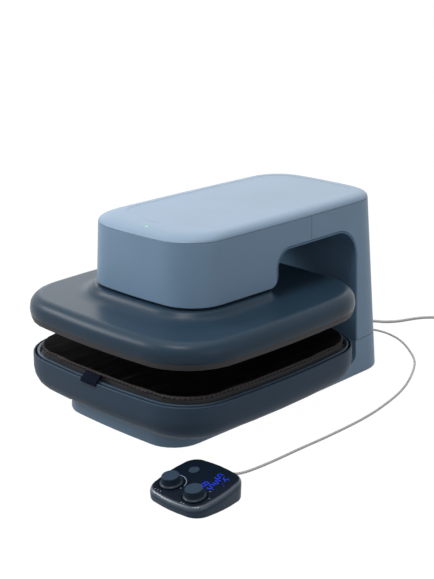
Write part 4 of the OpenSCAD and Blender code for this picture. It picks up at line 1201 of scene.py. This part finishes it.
@dataclass
class Pod(Assembly):
    """The control pod: case, knobs, button, numbers and printed marks.

    Places on its sloping top are in millimetres from the middle of that face.
    """

    EASED = (
        ("pod_base", Paint.POD_BASE, "pod_shell", 0.0004),
        ("pod_top", Paint.POD, "pod_shell", 0.0003))
    PAINTED = {"pod_display": Paint.DARK, "pod_board": Paint.BOARD, "encoders": Paint.ALLOY,
               "button_switch": Paint.INNER, "pod_feet": Paint.FOOT, "pod_screws": Paint.STEEL}
    middle: Point = (232.8, -311.8, 22.4)
    knobs: tuple[Place, ...] = ((-25.0, -18.81), (21.0, -23.05))
    knob_profile: tuple[Place, ...] = (
        (3.0, -7.0), (3.0, -0.4), (15.1, -0.4), (15.5, 0.0), (15.5, 0.6), (15.3, 1.1), (14.7, 1.6),
        (13.7, 2.1), (13.0, 2.7), (12.6, 3.8), (11.9, 10.2), (11.7, 11.0), (11.3, 11.45), (10.7, 11.6),
        (9.0, 11.55), (4.0, 11.45))
    button: Place = (-21.0, 18.81)
    button_profile: tuple[Place, ...] = (
        (2.5, -4.7), (2.5, -4.0), (7.25, -4.0), (7.25, 0.7), (7.1, 1.0), (6.75, 1.2), (6.0, 1.2),
        (4.0, 1.0), (1.5, 0.9))
    # Black ring in each knob's well, painted shade of the gap round the knob: radii, height and thickness
    # in millimetres.
    washer_in: float = 6.3
    washer_out: float = 17.1
    washer_z: float = -0.9
    washer_thick: float = 0.16
    ink: float = 0.06
    proud: float = 0.02
    bar: float = 1.5
    bar_gap: float = 0.5
    bar_rows: Place = (0.27, 0.73)
    bar_corner: float = 0.45
    faint_corner: float = 0.4
    arc_radius: float = 19.4
    arc_width: float = 1.1
    arc_span: Place = (12.0, 118.0)
    arc_z: float = 0.05
    arc_thick: float = 0.04
    arc_steps: int = 120
    dot: Place = (1.7, 1.7)
    dot_corner: float = 0.5
    tick: Place = (1.1, 2.2)
    tick_corner: float = 0.25
    numbers: tuple[tuple[Digit, float, float, float, float], ...] = (
        (Digit.EIGHT, 9.0, -2.0, 8.2, 11.2), (Digit.FIVE, 19.4, -1.8, 8.2, 11.2),
        (Digit.FIVE, 18.2, 11.2, 8.6, 9.4),
        (Digit.FIVE, 11.2, 20.8, 8.8, 11.6), (Digit.FOUR, 22.4, 20.2, 8.0, 10.8))
    faint: tuple[Place, ...] = ((30.6, 0.4), (31.6, 16.8), (36.6, 13.8), (32.6, 27.6))
    dots: tuple[Place, ...] = ((-6.0, -20.6), (30.5, -5.0), (40.5, -17.0))
    ticks: tuple[Place, ...] = (
        (-32.4, -40.6), (-27.4, -40.6), (-22.6, -40.6), (17.0, -43.2), (21.2, -43.2))

    def build(self) -> None:
        """Eases the case, then makes knobs, button, numbers and marks."""
        super().build()
        for name, place in zip(("time_knob", "temp_knob"), self.knobs):
            self.hand_piece(name, place, self.knob_profile)
            # a black ring in each well stands as painted shade in the gap round the knob
            self.dress(self.well_shade(name + "_washer", place), Paint.DARK, "frame", "inner_plastic")
        self.hand_piece("power_button", self.button, self.button_profile)
        self.dress(self.digits(), Paint.DIGITS, "frame", "screen")
        self.dress(self.marks(), Paint.PRINT, "frame", "pod_shell")

    def laid(self, obj: Piece) -> Piece:
        """Lays a piece that was drawn on a level face onto the sloping one.

        Args:
            obj: the piece, drawn about the face's middle.

        Returns:
            The same piece in its place.
        """
        slope = Matrix.Rotation(math.radians(POD_TILT), 4, "X")
        obj.data.transform(Matrix.Translation(Vector(self.middle) * MM) @ slope)
        return obj

    def hand_piece(self, name: str, place: Place, profile: Sequence[Place]) -> None:
        """A turned knob or button in the place of its CAD node."""
        made = self.laid(turned(name + "_turned", place, profile))
        self.dress(made, Paint.KNOB, name, "knob", name)

    def well_shade(self, name: str, place: Place) -> Piece:
        """A black ring at the bottom of a knob's well, painted shade in the gap round the knob.

        Args:
            name: its name.
            place: its centre on the face in millimetres.

        Returns:
            The ring.
        """
        made = ring(name, (*place, self.washer_z), self.washer_in, self.washer_out, STEPS)
        apply(made, "SOLIDIFY", thickness=self.washer_thick * MM, offset=0.0)
        return self.laid(made)

    def spot(self, place: Place, size: Place, corner: float) -> Piece:
        """One thin raised bar on the face, still level."""
        return plate("spot", (*place, self.proud), (*size, self.ink), corner)

    def digit(self, which: Digit, x: float, y: float, wide: float, high: float) -> list[Piece]:
        """One number of lit bars.

        Args:
            which: the number.
            x: its left edge in millimetres.
            y: its lower edge.
            wide: its width.
            high: its height.

        Returns:
            The bars.
        """
        bar, gap = self.bar, self.bar_gap
        across = (wide - bar - 2 * gap, bar)
        along = (bar, high / 2 - bar / 2 - 2 * gap)
        mid = x + wide / 2
        left, right = x + bar / 2, x + wide - bar / 2
        low, high_y = (y + high * part for part in self.bar_rows)
        rows = (((mid, y + high - bar / 2), across), ((right, high_y), along), ((right, low), along),
                ((mid, y + bar / 2), across), ((left, low), along), ((left, high_y), along),
                ((mid, y + high / 2), across))
        return [self.spot(place, size, self.bar_corner)
                for lit, (place, size) in zip(which.value, rows) if lit == "1"]

    def digits(self) -> Piece:
        """Rows of plain numbers that shine through the top.

        Returns:
            The lit bars as one piece.
        """
        bars = []
        for number in self.numbers:
            bars += self.digit(*number)
        bars += [self.spot(place, (self.bar, self.bar), self.faint_corner) for place in self.faint]
        return self.laid(joined("display_numbers", bars))

    def arc(self, place: Place) -> Piece:
        """A printed arc: a ring of which only one stretch is kept.

        Args:
            place: its centre in millimetres.

        Returns:
            The arc.
        """
        start, end = self.arc_span
        half = self.arc_width / 2
        made = ring("arc", (*place, self.arc_z), self.arc_radius - half, self.arc_radius + half,
                    self.arc_steps)
        edit_all(made)
        bpy.ops.mesh.select_mode(type="FACE")
        bpy.ops.mesh.select_all(action="DESELECT")
        bpy.ops.object.mode_set(mode="OBJECT")
        for face in made.data.polygons:
            x, y = face.center.x / MM - place[0], face.center.y / MM - place[1]
            face.select = not start <= math.degrees(math.atan2(y, x)) <= end
        bpy.ops.object.mode_set(mode="EDIT")
        bpy.ops.mesh.delete(type="FACE")
        outward()
        apply(made, "SOLIDIFY", thickness=self.arc_thick * MM, offset=0.0)
        return made

    def marks(self) -> Piece:
        """The arc, dots and ticks printed round the knobs.

        Returns:
            The marks as one piece.
        """
        pieces = [self.arc(self.knobs[0])]
        pieces += [self.spot(place, self.dot, self.dot_corner) for place in self.dots]
        pieces += [self.spot(place, self.tick, self.tick_corner) for place in self.ticks]
        return self.laid(joined("printed_marks", pieces))


def main() -> None:
    """Builds the scene: camera and cords first, then the machine."""
    logging.basicConfig(level=logging.INFO, format="%(message)s")
    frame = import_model()
    Studio().build()
    for kind in (Cords, FrameShells, Drive, Platen, Tray, Pod):
        LOG.info("building %s", kind.__name__)
        kind(frame["nodes"]).build()


if __name__ == "__main__":
    main()
